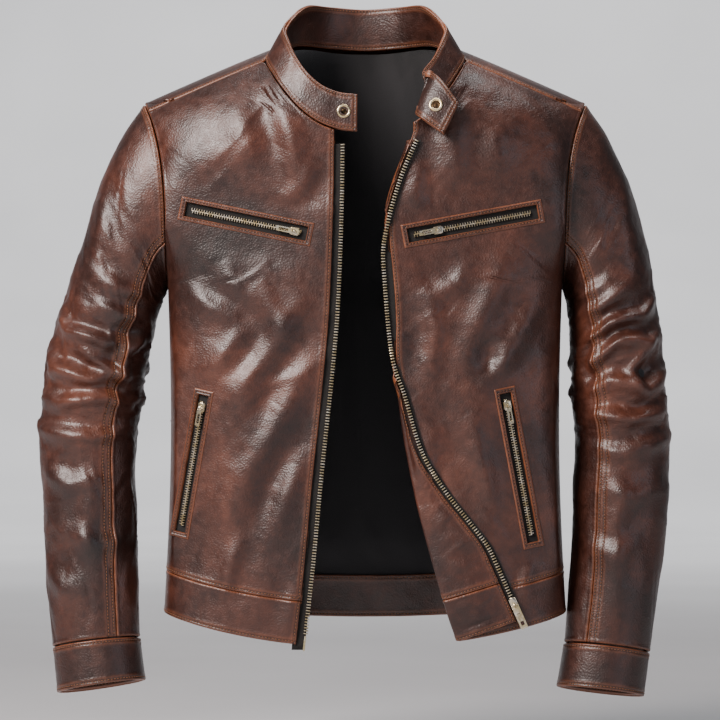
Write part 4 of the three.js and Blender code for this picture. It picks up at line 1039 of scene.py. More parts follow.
def copies(template, faces, centre, along, across, out):
    """Copies of a template at many places: centre + x * along + y * across + z * out."""
    points = (centre[:, None] + template[None, :, :1] * along[:, None]
              + template[None, :, 1:2] * across[:, None] + template[None, :, 2:] * out[:, None])
    numbers = faces[None] + np.arange(len(centre))[:, None, None] * len(template)
    return points.reshape(-1, 3), numbers.reshape(-1, faces.shape[1])


def run_of(path):
    """Distance along a polyline at each of its points."""
    return np.concatenate([[0], np.cumsum(np.linalg.norm(np.diff(path, axis=0), axis=1))])


def resample(path, spots):
    """Points of a polyline at distances along it, the unit direction there, its length."""
    run = run_of(path)
    at = lambda s: np.stack([np.interp(s, run, path[:, k]) for k in range(3)], -1)
    return at(spots), unit(at(spots + 0.6) - at(spots - 0.6)), run[-1]


def stitch_copies(path, normals, trim=3.0):
    """Stitches along a path, or None where it is too short for two; trim is left at each end."""
    total = resample(path, np.zeros(1))[2]
    spots = np.arange(trim + PITCH / 2, total - trim, PITCH)
    if len(spots) < 2:
        return None
    centre, along, _ = resample(path, spots)
    run = run_of(path)
    out = np.stack([np.interp(spots, run, normals[:, k]) for k in range(3)], -1)
    out = unit(out - along * (out * along).sum(-1, keepdims=True))
    return copies(capsule, capsule_faces, centre + out * 0.12, along, np.cross(out, along), out)


def join(parts):
    """One list of points and faces from several."""
    points, faces, start = [], [], 0
    for p, f in parts:
        points.append(p)
        faces.append(np.asarray(f) + start)
        start += len(p)
    return np.concatenate(points), np.concatenate(faces)


# %% [markdown]
# The distance from each border drives all of a panel's detail: the lip, the grooves, where
# the finish is rubbed pale, and the painted shade laid darker into each thread groove. Each
# thread row is the line at one such distance, followed on the finished surface. Last, two more
# rows of points at each border turn down through the leather's thickness and back under it.

# %% the sewn panel
SIDES = ("left", "right", "bottom", "top")
TURNED_UNDER = 9  # grid steps that a turned edge reaches back under its panel
thread_runs = {}


def faces_inwards(base, normal, facing):
    """True where the grid's normals point away from where its outer face should look."""
    word, aim = facing[0], np.asarray(facing[1])
    middle = base.mean(axis=1, keepdims=True) + aim
    way = {"away from": base - aim, "towards": aim - base, "along": aim, "starts along": aim,
           "from its middle": base - middle, "to its middle": middle - base}[word]
    agree = (normal * way).sum(-1)
    if word == "starts along":
        agree = agree[:, :base.shape[1] // 5]
    return np.median(agree) < 0


def row_path(border, row, gap, grid, out):
    """The line at one distance from a border, and the normals along it."""
    if border in ("bottom", "top"):
        gap, grid, out = gap.T, grid.transpose(1, 0, 2), out.transpose(1, 0, 2)
    if border in ("right", "top"):
        gap, grid, out = gap[:, ::-1], grid[:, ::-1], out[:, ::-1]
    k = np.clip((gap < row).sum(axis=1), 1, gap.shape[1] - 1)
    i = np.arange(len(k))
    t = ((row - gap[i, k - 1]) / np.maximum(gap[i, k] - gap[i, k - 1], 1e-6))[:, None]
    return lerp(grid[i, k - 1], grid[i, k], t), lerp(out[i, k - 1], out[i, k], t)


def sewn_panel(name, surface, size, body, facing, stitches, plain=(), trim=3.0, step=2.4,
               holes=()):
    """A leather panel from surface(u, v). size is its (width, height) in millimetres, facing
    a word and the point or direction that its outer face turns away from, towards or along,
    stitches the distances of its thread rows from each border. Borders in plain have neither
    lip nor wall. holes are tests that are true for points of the leather to cut away."""
    us = spaced(size[0], int(size[0] / step) + 14)
    vs = spaced(size[1], int(size[1] / step) + 14)
    u, v = np.meshgrid(us, vs)
    base = surface(u, v)
    normal = normals_of(base)
    flipped = faces_inwards(base, normal, facing)
    if flipped:
        normal = -normal
    across, up = arc_from(base, 1), arc_from(base, 0)
    gaps = {"left": across, "right": across[:, -1:] - across,
            "bottom": up, "top": up[-1:] - up}
    height = sum(edge_profile(gaps[s], stitches.get(s, ())) for s in SIDES if s not in plain)
    nearest = np.minimum.reduce([gaps[s] for s in SIDES if s not in plain])
    worn = 0.85 * np.exp(-((nearest / 1.5) ** 2))
    # groove: painted shade, darker leather laid into each sunk thread groove.
    groove = np.zeros(np.shape(u))
    for s in SIDES:
        for row in stitches.get(s, ()):
            groove = np.maximum(groove, 0.75 * np.exp(-(((gaps[s] - row) / 0.8) ** 2)))
            worn = np.maximum(worn, 0.32 * np.exp(-(((gaps[s] - row - 2.4) / 1.4) ** 2)))
    shown = base + normal * height[..., None]

    parts = thread_runs.setdefault(body, [])
    for s in SIDES:
        for row in stitches.get(s, ()):
            made = stitch_copies(*row_path(s, row, gaps[s], shown, normal), trim)
            if made:
                parts.append(made)

    uv = np.stack([across, up], -1) * 0.001
    hide = base * 0.001
    tucked = min(TURNED_UNDER, len(us) - 1, len(vs) - 1)
    for axis, first, last in ((1, "left", "right"), (0, "bottom", "top")):
        take = lambda a, i: np.take(a, [i], axis=axis)
        under = lambda i: take(base, i) - take(normal, i) * LEATHER
        before = [] if first in plain else [under(tucked), under(0)]
        after = [] if last in plain else [under(-1), under(-1 - tucked)]
        shown = np.concatenate([*before, shown, *after], axis)
        padded = lambda a: np.concatenate(
            [take(a, 0)] * len(before) + [a] + [take(a, -1)] * len(after), axis)
        base, normal, uv = padded(base), padded(normal), padded(uv)
        hide, worn, groove = padded(hide), padded(worn), padded(groove)
    rows_n, columns_n = shown.shape[:2]
    faces = grid_faces(rows_n, columns_n)
    if flipped:
        faces = faces[:, ::-1]
    if holes:
        centre = shown.reshape(-1, 3)[faces].mean(axis=1)
        faces = faces[~np.logical_or.reduce([cut(centre) for cut in holes])]
    piece = add_mesh(name, shown.reshape(-1, 3), faces, leather, "leather", body,
                     UVMap=uv.reshape(-1, 2), hide=hide.reshape(-1, 3), worn=worn.ravel(),
                     groove=groove.ravel())
    print(name, rows_n, "x", columns_n)
    return piece


# %% [markdown]
# ## Body panels
# Front, back, yoke and hem bands each keep their own grid, with the thread rows a factory
# would sew: two along the yoke seam, one at the hem and one along the zip edge.

# %% fronts
CUT_UNDER = 2.5  # how far a pocket's hole stays inside its welt
MIDDLE = (0, 0, -300)
SEAM = 0.3


def pocket_cuts(side):
    """Tests for points inside each pocket's slot, well under its welt."""
    cuts = []
    for pocket in POCKETS.values():
        if pocket["side"] == side:
            def inside(points, pocket=pocket):
                flat = np.stack([np.abs(points[:, 0]), points[:, 2]], -1) - pocket["middle"]
                a, b = flat @ pocket["along"], flat @ pocket["across"]
                return ((np.abs(a) < pocket["length"] / 2 + POCKET_END - CUT_UNDER)
                        & (np.abs(b) < pocket["frame"] / 2 - CUT_UNDER))
            cuts.append(inside)
    return cuts


for side in ("right", "left"):
    edge = lambda z, side=side: panel_edge(side, z)
    top = lambda x: front_top(x) - SEAM
    low = lambda x: band_top(FRONT)(x) + SEAM
    front = sewn_panel(
        f"front_leather_{side}", front_surface(side, low, top, edge), (200, 520), "torso",
        ("away from", MIDDLE),
        {"left": (2.6,), "bottom": (3.0,)}, step=2.0, holes=pocket_cuts(side))
    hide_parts(f"front_panel_{side}")
    band = sewn_panel(
        f"hem_band_leather_{side}", front_surface(side, lambda x: hem_z(FRONT, x),
                                                  lambda x: band_top(FRONT)(x) - SEAM, edge),
        (190, HEM_BAND), "torso", ("away from", MIDDLE), {"bottom": (3.0,), "left": (2.6,)})
    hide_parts(f"hem_band_{side}")

# %% [markdown]
# The back is one broad panel under a yoke that runs forward over the shoulders. Its band
# shows its inner side through the open front, so that side is leather too.

# %% back, yoke and back band
back = sewn_panel("back_leather", back_surface(lambda x: band_top(BACK)(x) + SEAM,
                                               lambda x: 0 * x - YOKE_DROP - SEAM),
                  (470, 470), "torso", ("away from", MIDDLE), {"bottom": (3.0,)}, step=3.0)
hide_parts("back_panel")
yoke = sewn_panel("yoke_leather", yoke_surface, (440, 175), "torso", ("away from", MIDDLE),
                  {"bottom": (3.0, 9.5), "top": (3.0,)})
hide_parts("back_yoke")


BAND_INSET, BAND_PUCKER = 6.2, 1.0


def inner_band(u, v):
    """The band's inner face: its outer face drawn in by BAND_INSET towards the middle."""
    point = back_surface(lambda x: hem_z(BACK, x), lambda x: band_top(BACK)(x) - SEAM)(u, v)
    puckers = BAND_PUCKER * waves(point[..., 0], point[..., 2] * 0.35, 30, 91, creased=0.4)
    inset = BAND_INSET + puckers * np.sin(math.pi * np.clip(v, 0, 1))
    return point * np.stack([1 - inset / CHEST_HALF, 1 - inset / BACK["depth"],
                             np.ones(np.shape(u))], -1)


outer_band = sewn_panel("hem_band_leather_back", back_surface(
    lambda x: hem_z(BACK, x), lambda x: band_top(BACK)(x) - SEAM),
    (470, HEM_BAND), "torso", ("away from", MIDDLE), {"bottom": (3.0,)}, step=3.0)
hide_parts("hem_band_back")
sewn_panel("hem_band_inside_back", inner_band, (460, HEM_BAND), "torso",
           ("along", (0, -1, 0)), {"bottom": (3.0,), "top": (3.0,)})

# %% [markdown]
# The facings: the right one stays hidden behind its edge, the left one is the long lapel.

# %% facings
for side in ("right", "left"):
    facing_low = lambda x: band_top(FRONT)(x) + SEAM
    facing_top = lambda x: 0 * x - NECK_DROP - 8
    facing = sewn_panel(f"facing_leather_{side}", hook(side, facing_low, facing_top),
                        (52, 520), "torso", ("starts along", (0, 1, 0)),
                        {"right": (2.4,), "bottom": (2.6,)}, step=1.6)
    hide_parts(f"facing_{side}")
    sewn_panel(
        f"facing_band_leather_{side}",
        hook(side, lambda x: hem_z(FRONT, x), lambda x: band_top(FRONT)(x) - SEAM),
        (52, HEM_BAND), "torso", ("starts along", (0, 1, 0)),
        {"right": (2.4,), "bottom": (2.6,)}, step=1.6)

# %% [markdown]
# ## Sleeves and cuffs
# Each sleeve has a wide top piece and a narrow under piece, joined by a double row of
# stitches that runs down the front of the arm.


# %% sleeves
def bend_at_armhole(piece):
    """Bakes a piece's placing into its mesh; places in metres."""
    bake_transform(piece)
    return piece


for side in ("right", "left"):
    sleeve = sleeve_surface(side)
    pieces = (("top", -SLEEVE_SEAM + 0.3, SLEEVE_SEAM - 0.3, (250, 610), (0, 0, 0), (3.0, 9.0)),
              ("under", SLEEVE_SEAM + 0.3, 360 - SLEEVE_SEAM - 0.3, (110, 610),
               (SIGN[side] * 26, 0, 0), ()))
    for part, start, end, size, middle, rows in pieces:
        strip = lambda u, v, a=start, b=end: sleeve(lerp(a, b, u), lerp(0.0015, 0.9985, v))
        leather_piece = sewn_panel(
            f"sleeve_{part}_leather_{side}", strip, size, None, ("from its middle", middle),
            {"left": rows, "right": rows, "bottom": rows[:1]})
        bend_at_armhole(leather_piece)
        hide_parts(f"sleeve_{part}_{side}")

# %% [markdown]
# A cuff is a doubled band with a stitched lip at its rim and its seam. It is one strip whose
# two ends meet under the arm.

# %% cuffs
CUFF_DEEP = 48
CUFF_FROM, CUFF_TO = -175, 185  # degrees round the sleeve, from end to end of the strip
for side in ("right", "left"):
    cuff = cuff_surface(side)
    strip = lambda u, v: cuff(lerp(CUFF_FROM, CUFF_TO, u), v)
    band = sewn_panel(f"cuff_leather_{side}", strip, (270, CUFF_DEEP), f"sleeve_{side}",
                      ("from its middle", (0, 0, 0)), {"bottom": (3.0,), "top": (3.0,)})
    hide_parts(f"cuff_{side}")
    inside_strip = lambda u, v: (lambda p: lerp(p, p.mean(axis=1, keepdims=True), 0.13))(
        cuff(lerp(CUFF_FROM, CUFF_TO, u), lerp(-0.25, 0.97, v)))
    sewn_panel(f"cuff_inside_{side}", inside_strip, (250, CUFF_DEEP), f"sleeve_{side}",
               ("to its middle", (0, 0, 0)), {"top": (3.0,)})

# %% [markdown]
# ## Collar
# Outer and inner ply are separate panels padded apart by the interlining. The row along the
# top edge is what gives the stand its rolled rim.

# %% collar
SPREAD = lambda u: np.where(u < 0.6, u / 0.6 * 0.86, 0.86 + (u - 0.6) / 0.4 * 0.14)
outer_ply, inner_ply = collar_surface(0.0, 0.7), collar_surface(COLLAR_BEHIND, -0.7)
collar_rows = {"bottom": (3.0,), "top": (3.0,), "left": (3.0,), "right": (3.0,)}
for name, ply, facing, node in (
        ("collar_outer_leather", outer_ply, ("away from", (0, -20, -30)), "collar_outer"),
        ("collar_inner_leather", inner_ply, ("towards", (0, -20, -30)), "collar_inner")):
    low = 0.14 if node == "collar_inner" else 0.0
    tucked = lambda u, low=low: low * smooth(u, 0.12, 0.3) * (1 - smooth(u, 0.6, 0.75))
    surface = lambda u, v, ply=ply: ply(SPREAD(u), v - (1 - v) * tucked(u))
    piece = sewn_panel(name, surface, (620, COLLAR_HEIGHT), "torso", facing, collar_rows)
    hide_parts(node)


# %% [markdown]
# ## Thread
# The rows sewn on each body are gathered into that body's thread pieces, the sleeves' rows one
# piece for each side.

# %% thread
for body, parts in thread_runs.items():
    for side in ("right", "left") if body is None else (None,):
        points, faces = join(parts)
        if side:
            keep = (points[faces].mean(axis=1)[:, 0] * SIGN[side]) > 0
            used, faces = np.unique(faces[keep], return_inverse=True)
            points, faces = points[used], faces.reshape(-1, 4)
            bend_at_armhole(add_mesh(f"sleeve_thread_{side}", points, faces, thread, "leather",
                                     None))
        else:
            half = len(faces) // 2 // len(capsule_faces) * len(capsule_faces)
            for number, some in enumerate((faces[:half], faces[half:])):
                used, some = np.unique(some, return_inverse=True)
                add_mesh(f"thread_{body}_{number}", points[used], some.reshape(-1, 4), thread,
                         "leather", body)
        print("thread", body, len(faces))

# %% [markdown]
# ## Solids of revolution, bars and rings
# The metal is small and precise, so its shapes are plain: outlines lofted with a small
# bevel, bars bent along an arc, and turned profiles.


# %% metal shapes
def cap(count, start):
    """Quads that close a ring of an even count of points, between mirrored pairs."""
    k = np.arange(count // 2 - 1)
    return start + np.stack([k, k + 1, count - 2 - k, count - 1 - k], -1)


def loft(outline, levels):
    """Copies of an outline at heights, each drawn in towards its middle, capped at both
    ends. levels are (height, inset)."""
    outline = np.asarray(outline, float)
    length = np.linalg.norm(outline, axis=1, keepdims=True)
    rings = [np.column_stack([outline * (1 - inset / length), np.full(len(outline), height)])
             for height, inset in levels]
    n = len(outline)
    faces = [grid_faces(len(levels), n, wrap=True), cap(n, 0)[:, ::-1],
             cap(n, n * (len(levels) - 1))]
    return np.concatenate(rings), np.concatenate(faces)


def rounded_outline(length, width, radius, corner=5):
    """Corner arcs of one radius, joined by straight sides, from the middle of one end."""
    turn = np.radians(np.linspace(0, 90, corner))
    points = []
    for k, (sx, sy) in enumerate(((1, 1), (-1, 1), (-1, -1), (1, -1))):
        angle = turn + math.radians(90 * k)
        points.append(np.stack([sx * (length / 2 - radius) + radius * np.cos(angle),
                                sy * (width / 2 - radius) + radius * np.sin(angle)], -1))
    return np.concatenate(points)


def beveled(thickness, bevel, start=0.0):
    return [(start, bevel), (start + bevel, 0), (start + thickness - bevel, 0),
            (start + thickness, bevel)]


def hoop(outer, inner, low, high, bevel):
    """A flat frame between two outlines of equal count, its section an eased rectangle."""
    outer, inner = np.asarray(outer, float), np.asarray(inner, float)
    way = unit(inner - outer)
    section = [(outer + way * bevel, low), (outer, low + bevel), (outer, high - bevel),
               (outer + way * bevel, high), (inner - way * bevel, high), (inner, high - bevel),
               (inner, low + bevel), (inner - way * bevel, low)]
    grid = np.stack([np.column_stack([p, np.full(len(p), z)]) for p, z in section], 0)
    faces = grid_faces(9, len(outer), wrap=True) % (8 * len(outer))
    return grid.reshape(-1, 3), faces


# %% [markdown]
# Rods and turned rings are loops of points, too: round a path, or round an axis. The last
# three functions put a shape in its place and make one metal piece of several shapes.


# %% rods, turned rings and their placing
def bar(path, binormal, radius, sides=10, wide=1.0):
    """A rod along a plane path; binormal is the plane's normal, wide its stretch that way."""
    tangent = unit(np.gradient(path, axis=0))
    out = np.cross(np.asarray(binormal, float), tangent)
    angle = np.linspace(0, 2 * math.pi, sides, endpoint=False)
    ring = (out[:, None] * np.cos(angle)[None, :, None]
            + np.asarray(binormal, float) * wide * np.sin(angle)[None, :, None]) * radius
    return (path[:, None] + ring).reshape(-1, 3), np.concatenate(
        [grid_faces(len(path), sides, wrap=True), cap(sides, 0)[:, ::-1],
         cap(sides, (len(path) - 1) * sides)])


def turned(profile, sides=48):
    """A (radius, height) profile turned about z, its two ends closed by small caps."""
    profile = np.asarray(profile, float)
    angle = np.linspace(0, 2 * math.pi, sides, endpoint=False)
    r, h = np.maximum(profile[:, 0], 0.05), profile[:, 1]
    grid = np.stack([np.outer(r, np.cos(angle)), np.outer(r, np.sin(angle)),
                     np.repeat(h[:, None], sides, 1)], -1)
    return grid.reshape(-1, 3), np.concatenate(
        [grid_faces(len(profile), sides, wrap=True), cap(sides, 0)[:, ::-1],
         cap(sides, (len(profile) - 1) * sides)])


def placed(shape, origin, x, y, z):
    points, faces = shape
    return origin + points @ np.stack([x, y, z]), faces


def outward(points, faces):
    """Turns all faces over where the closed shape's signed volume is negative."""
    a, b, c, d = (points[faces[:, k]] for k in range(4))
    volume = (a * np.cross(b, c)).sum() + (a * np.cross(c, d)).sum()
    return points, faces if volume > 0 else faces[:, ::-1]


def metal_piece(name, shapes, material, slot, body, node=None, angle=35):
    points, faces = join([outward(*shape) for shape in shapes])
    piece = add_mesh(name, points, faces, material, slot, body, smooth_faces=False)
    bpy.context.view_layer.objects.active = piece
    piece.data.shade_smooth()
    piece.data.set_sharp_from_angle(angle=math.radians(angle))
    if node:
        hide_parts(node)
    return piece


# %% [markdown]
# ## Zip teeth
# A metal tooth is a small jaw: it grips the tape's cord, narrows to a waist and swells to a
# rounded head that meshes with the teeth across. In a closed zip the two rows alternate.

# %% teeth
ROW_PITCH, ROW_START = 3.05, 0.8
# Each section is (place from tail to head, half width along the zip, half thickness).
sections = [(-2.3, 0.50, 1.0), (-1.7, 0.66, 1.45), (-0.2, 0.58, 1.5), (1.0, 0.72, 1.45),
            (1.8, 0.78, 1.3), (2.3, 0.5, 0.8)]
corner = np.array([(-1, -0.6), (-0.6, -1), (0.6, -1), (1, -0.6), (1, 0.6), (0.6, 1),
                   (-0.6, 1), (-1, 0.6)])
tooth = np.concatenate([np.column_stack([corner[:, 0] * half, np.full(8, c), corner[:, 1] * thick])
                        for c, half, thick in sections])
tooth_faces = np.concatenate([grid_faces(len(sections), 8, wrap=True), cap(8, 0)[:, ::-1],
                              cap(8, 8 * (len(sections) - 1))])


def tooth_row(path, out_ways, head_ways, pitch, scale=1.0, start=ROW_START):
    """Teeth at one pitch along a path, with their heads to one side."""
    total = resample(path, np.zeros(1))[2]
    spots = np.arange(start, total - ROW_START, pitch)
    centre, along, _ = resample(path, spots)
    run = run_of(path)
    pick = lambda w: np.stack([np.interp(spots, run, w[:, k]) for k in range(3)], -1)
    head = pick(head_ways)
    head = unit(head - along * (head * along).sum(-1, keepdims=True))
    out = unit(np.cross(along, head))
    out = np.where(((out * pick(out_ways)).sum(-1) < 0)[:, None], -out, out)
    return outward(*copies(tooth * scale, tooth_faces, centre, along, head, out))


def ribbon(path, ways, low, high, outs, thick, across=9):
    """A closed tape: a grid from low to high across each point of a path, and its back."""
    t = np.linspace(0, 1, across)
    reach = low[:, None] + (high - low)[:, None] * t
    face = path[:, None] + ways[:, None] * reach[..., None]
    behind = face - outs[:, None] * thick
    loop = np.concatenate([face, behind[:, ::-1]], axis=1)
    n = 2 * across
    faces = np.concatenate([grid_faces(len(path), n, wrap=True), cap(n, 0)[:, ::-1],
                            cap(n, n * (len(path) - 1))])
    run = run_of(path)
    wide = np.concatenate([reach, reach[:, ::-1]], axis=1)
    uv = np.stack([wide, np.repeat(run[:, None], n, 1)], -1).reshape(-1, 2) * 0.001
    points, faces = outward(loop.reshape(-1, 3), faces)
    return points, faces, uv


# %% [markdown]
# Each row runs from the collar to its end fitting. Its tape lies just under the teeth and
# reaches back under the leather; where the left front is turned out, it swaps over to the
# facing's side. The right tape runs on past the teeth beside the insertion pin.

# %% main zip
PIN_TAPE, TAPE_BELOW, TAPE_THICK = 16, 2.3, 0.8
for side in ("right", "left"):
    s = SIGN[side]
    zs = np.linspace(-ZIP_TOP - (2 if side == "left" else 6), -ZIP_END[side], 260)
    path = zip_point(side, zs)
    along = unit(np.gradient(path, axis=0))
    across = unit(np.cross(along, (0, 1, 0)))
    out = unit(np.cross(along, across))
    head_side = np.where((across[:, :1] * -s) > 0, across, -across)
    teeth = tooth_row(path, out, head_side, ROW_PITCH)
    row = add_mesh(f"main_teeth_{side}", *teeth, tooth_metal, "zip_teeth", "torso", False)
    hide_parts(f"zip_teeth_{side}")
    turn = turn_of(side, zs)
    room = panel_edge(side, zs) - ZIP_LINE[side](zs) - 2.6
    if side == "right":
        room = np.full(len(zs), TAPE_SHOWS + 4.0)
    held = np.maximum(smooth(turn, 0, 0.03), smooth(-zs, 553, 560))
    high = lerp(lerp(TAPE_SHOWS + 4, room, held), 5, smooth(turn, 0.35, 0.5))
    low = -lerp(0.6, np.maximum(np.minimum(-room - 12, 8), 0), smooth(turn, 0.6, 1))
    ways = np.repeat([[s, 0.0, 0.0]], len(zs), 0)
    path = path - out * TAPE_BELOW
    if side == "right":
        path[-4:] += np.linspace(0, 1, 4)[:, None] * along[-1] * PIN_TAPE
    points, faces, uv = ribbon(path, ways, low, high, out, TAPE_THICK)
    strip = add_mesh(f"main_tape_{side}", points, faces, tape, "zip_tape", "torso", True,
                     UVMap=uv)
    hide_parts(f"zip_tape_{side}")
print("teeth in the left row", len(teeth[0]) // len(tooth))

# %% [markdown]
# ## Sliders and pulls
# A slider is a cap with two side rails that hug the teeth, and a small bridge on its back.
# The pull is a windowed tab, level with the bridge's eye. Two arms run from the tab to a pin
# through the eye, and the pull turns about that pin.

# %% slider shapes
RUNNING_GAP, WALL = 0.4, 1.1


def slider_shapes(length, wide, thick):
    """Cap, rails and bridge; x along the teeth, z outwards, the teeth's middle at 0."""
    half, crown = wide / 2 + RUNNING_GAP, thick / 2 + RUNNING_GAP + WALL
    t = np.linspace(0, 2 * math.pi, 32, endpoint=False)
    power = lambda a: np.sign(a) * np.abs(a) ** 0.55
    taper = 1 + 0.16 * np.cos(t)
    outline = np.stack([power(np.cos(t)) * length / 2, power(np.sin(t)) * (half + WALL) * taper
                        / 1.12], -1)
    top = loft(outline, [(crown - WALL, 0.1), (crown - WALL + 0.2, 0), (crown - 0.45, 0),
                         (crown - 0.12, 0.3), (crown, 0.8)])
    rails = []
    for way in (-1, 1):
        shape = loft(rounded_outline(length - 2.4, WALL, 0.4, 3), beveled(thick + 0.3, 0.2,
                                                                        -thick / 2 - 0.2))
        shape[0][:, 1] += way * (half + WALL / 2)
        rails.append(shape)
    angle = np.radians(np.linspace(0, 180, 17))
    arch = np.stack([1.7 * np.cos(angle), 0 * angle,
                     crown - 0.3 + 2.5 * np.sin(angle) ** 0.8], -1)
    return [top, *rails, bar(arch, (0, 1, 0), 0.62, 8, 1.7)], crown + 0.9


def pull_shapes(length, width, eye):
    """A tab with a long window, held in line with the eye by two arms and a pin."""
    reach = 2.6
    outer = rounded_outline(length - reach, width, 1.3, 8)
    inner = rounded_outline(length * 0.5, width * 0.44, 0.9, 8)
    outer[:, 0] += (length + reach) / 2
    inner[:, 0] += length * 0.6
    shapes = [hoop(outer, inner, eye - 0.6, eye + 0.6, 0.25)]
    for way in (-1, 1):
        arm = np.array([[-0.3, way * (width / 2 - 0.5), eye],
                        [reach + 1, way * (width / 2 - 0.5), eye]])
        shapes.append(bar(np.linspace(*arm, 6), (0, 1, 0), 0.5, 8))
    pin = np.array([[0, -width / 2 + 0.3, eye], [0, width / 2 - 0.3, eye]])
    shapes.append(bar(np.linspace(*pin, 6), (1, 0, 0), 0.34, 8))
    return shapes


# %% [markdown]
# The main slider rests at the foot of the left row. Below it are the retaining box, and on
# the right row the insertion pin that the box takes when the jacket is closed.

# %% main slider
MAIN_SLIDER_LONG, SLIDER_PROUD = 17, 0.54
along = unit(zip_point("left", np.array(-ZIP_END["left"] + 11.0))
             - zip_point("left", np.array(-ZIP_END["left"] + 13.0)))
across = unit(np.cross(along, (0, 1, 0)))
out = np.cross(along, across)
foot = zip_point("left", np.array(-float(ZIP_END["left"])))
shapes, eye = slider_shapes(MAIN_SLIDER_LONG, 4.6, 3)
at = foot - along * (MAIN_SLIDER_LONG / 2) + out * SLIDER_PROUD
metal_piece("main_slider_body", [placed(s, at, along, across, out) for s in shapes],
            pull_metal, "zip_metal", "main_slider", "zip_slider")
metal_piece("main_pull_tab", [placed(s, at, along, across, out) for s in pull_shapes(27, 8, eye)],
            pull_metal, "zip_metal", "main_pull", "zip_pull")
print("main pull turns about", np.round(at + out * eye, 2))
box = loft(rounded_outline(9, 6, 1.2), beveled(4, 0.5, -2))
metal_piece("retaining_box", [placed(box, foot + along * 6.1, along, across, out)],
            pull_metal, "zip_metal", "torso", "zip_box")
right_foot = zip_point("right", np.array(-float(ZIP_END["right"])))
right_along = unit(right_foot - zip_point("right", np.array(-ZIP_END["right"] + 2.0)))
right_across = unit(np.cross(right_along, (0, 1, 0)))
pin = loft(rounded_outline(16, 2.2, 0.8), beveled(2.2, 0.4, -1.1))
metal_piece("insertion_pin", [placed(pin, right_foot + right_along * 9.2, right_along,
                                     right_across, np.cross(right_along, right_across))],
            pull_metal, "zip_metal", "torso", "zip_pin")

# %% [markdown]
# ## Pocket zips
# Each chest and hand pocket is a narrow window framed by a stitched leather welt, with a
# closed zip set just below the leather.

# %% the plane of a pocket
ROW_PAIR, POCKET_TOOTH, TEETH_Z, SLIDER_LONG = 5.2, 2.4, -1.2, 11
WELT_ROW, WELT_WINDOW, WELT_SIDE = 3.1, 1, 70  # thread row, overlap on the slot, points a side
WELT_STEPS = np.array([0, 0.25, 0.6, 1.0, 1.5, 2.1, 2.8, 3.4, 4.0, 4.6, 5.1, 5.5, 5.9, 6.2])
SQUARE = np.array([(-1, -1), (1, -1), (1, 1), (-1, 1), (-1, -1)], float)


def pocket_axes(pocket):
    """The middle of a pocket's plane, and its axes along, across and out of the zip."""
    def plane_point(a, b):
        flat = pocket["middle"] + a * pocket["along"] + b * pocket["across"]
        depth = pocket["depth"] + a * pocket["fall"] + b * pocket["slope"]
        return np.array([SIGN[pocket["side"]] * flat[0], -depth, flat[1]])

    origin = plane_point(0, 0)
    x = unit(plane_point(1, 0) - origin)
    z = unit(np.cross(x, plane_point(0, 1) - origin))
    z = -z if z[1] > 0 else z
    return origin, x, np.cross(z, x), z


# %% [markdown]
# The welt is one ring of leather from its outer border in to its window. Its section has a
# rounded lip, a swell, the groove of its thread row, and a fall into the slot.


# %% welts
def welt_section(gap, reach):
    """Height of the welt at a distance in from its border; reach is its whole width."""
    lip = np.sqrt(np.clip(1 - (1 - np.clip(gap / 1.3, 0, 1)) ** 2, 0, 1))
    return (0.3 + 0.7 * lip + 0.5 * np.exp(-(((gap - 1.8) / 1.0) ** 2))
            - 0.6 * np.exp(-(((gap - WELT_ROW) / 0.55) ** 2))
            + 0.35 * np.exp(-(((gap - 4.2) / 0.6) ** 2))
            - 1.6 * smooth(gap, reach - 0.7, reach))


def make_welt(kind, pocket, origin, x, y, z):
    side, slot = pocket["side"], pocket["slot"]
    half_out = np.array([pocket["length"] + 2 * POCKET_END, pocket["frame"]]) / 2
    half_in = np.array([pocket["length"] / 2 + 5, slot / 2 + WELT_WINDOW])
    reach = (pocket["frame"] - slot) / 2 - WELT_WINDOW
    round_it = np.concatenate([np.linspace(k, k + 1, WELT_SIDE, endpoint=False)
                               for k in range(4)]) / 4
    u, v = np.meshgrid(round_it, WELT_STEPS / WELT_STEPS[-1])
    t = u * 4 % 4
    i = np.clip(t.astype(int), 0, 3)
    f = (t - i)[..., None]
    flat = (SQUARE[i] * (1 - f) + SQUARE[i + 1] * f) * lerp(half_out, half_in, v[..., None])
    gap = v * reach
    border = np.ones((1, len(round_it)))
    rows = np.concatenate([-1.0 * border, welt_section(gap, reach), -2.2 * border])
    flat = np.concatenate([flat[:1], flat, flat[-1:]])
    gap = np.concatenate([gap[:1], gap, gap[-1:]])
    points = origin + flat[..., :1] * x + flat[..., 1:] * y + rows[..., None] * z
    faces = grid_faces(len(points), len(round_it), wrap=True)
    worn = 0.9 * np.exp(-((gap / 1.1) ** 2)) + 0.8 * np.exp(-(((gap - reach) / 0.8) ** 2))
    # groove: painted shade, darker leather laid into the welt's sunk thread groove.
    groove = 0.8 * np.exp(-(((gap - WELT_ROW) / 0.6) ** 2))
    away = (np.cross(points[1:, :1] - points[:-1, :1],
                     points[1:, 1:2] - points[1:, :1])[3] * z).sum()
    faces = faces if away < 0 else faces[:, ::-1]
    welt = add_mesh(f"{kind}_welt_leather_{side}", points.reshape(-1, 3), faces, leather,
                    "leather", "torso", hide=points.reshape(-1, 3) * 0.001 + 0.37,
                    worn=worn.ravel(), groove=groove.ravel())
    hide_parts(f"{kind}_welt_{side}")
    print(kind, side, "welt", *points.shape[:2])


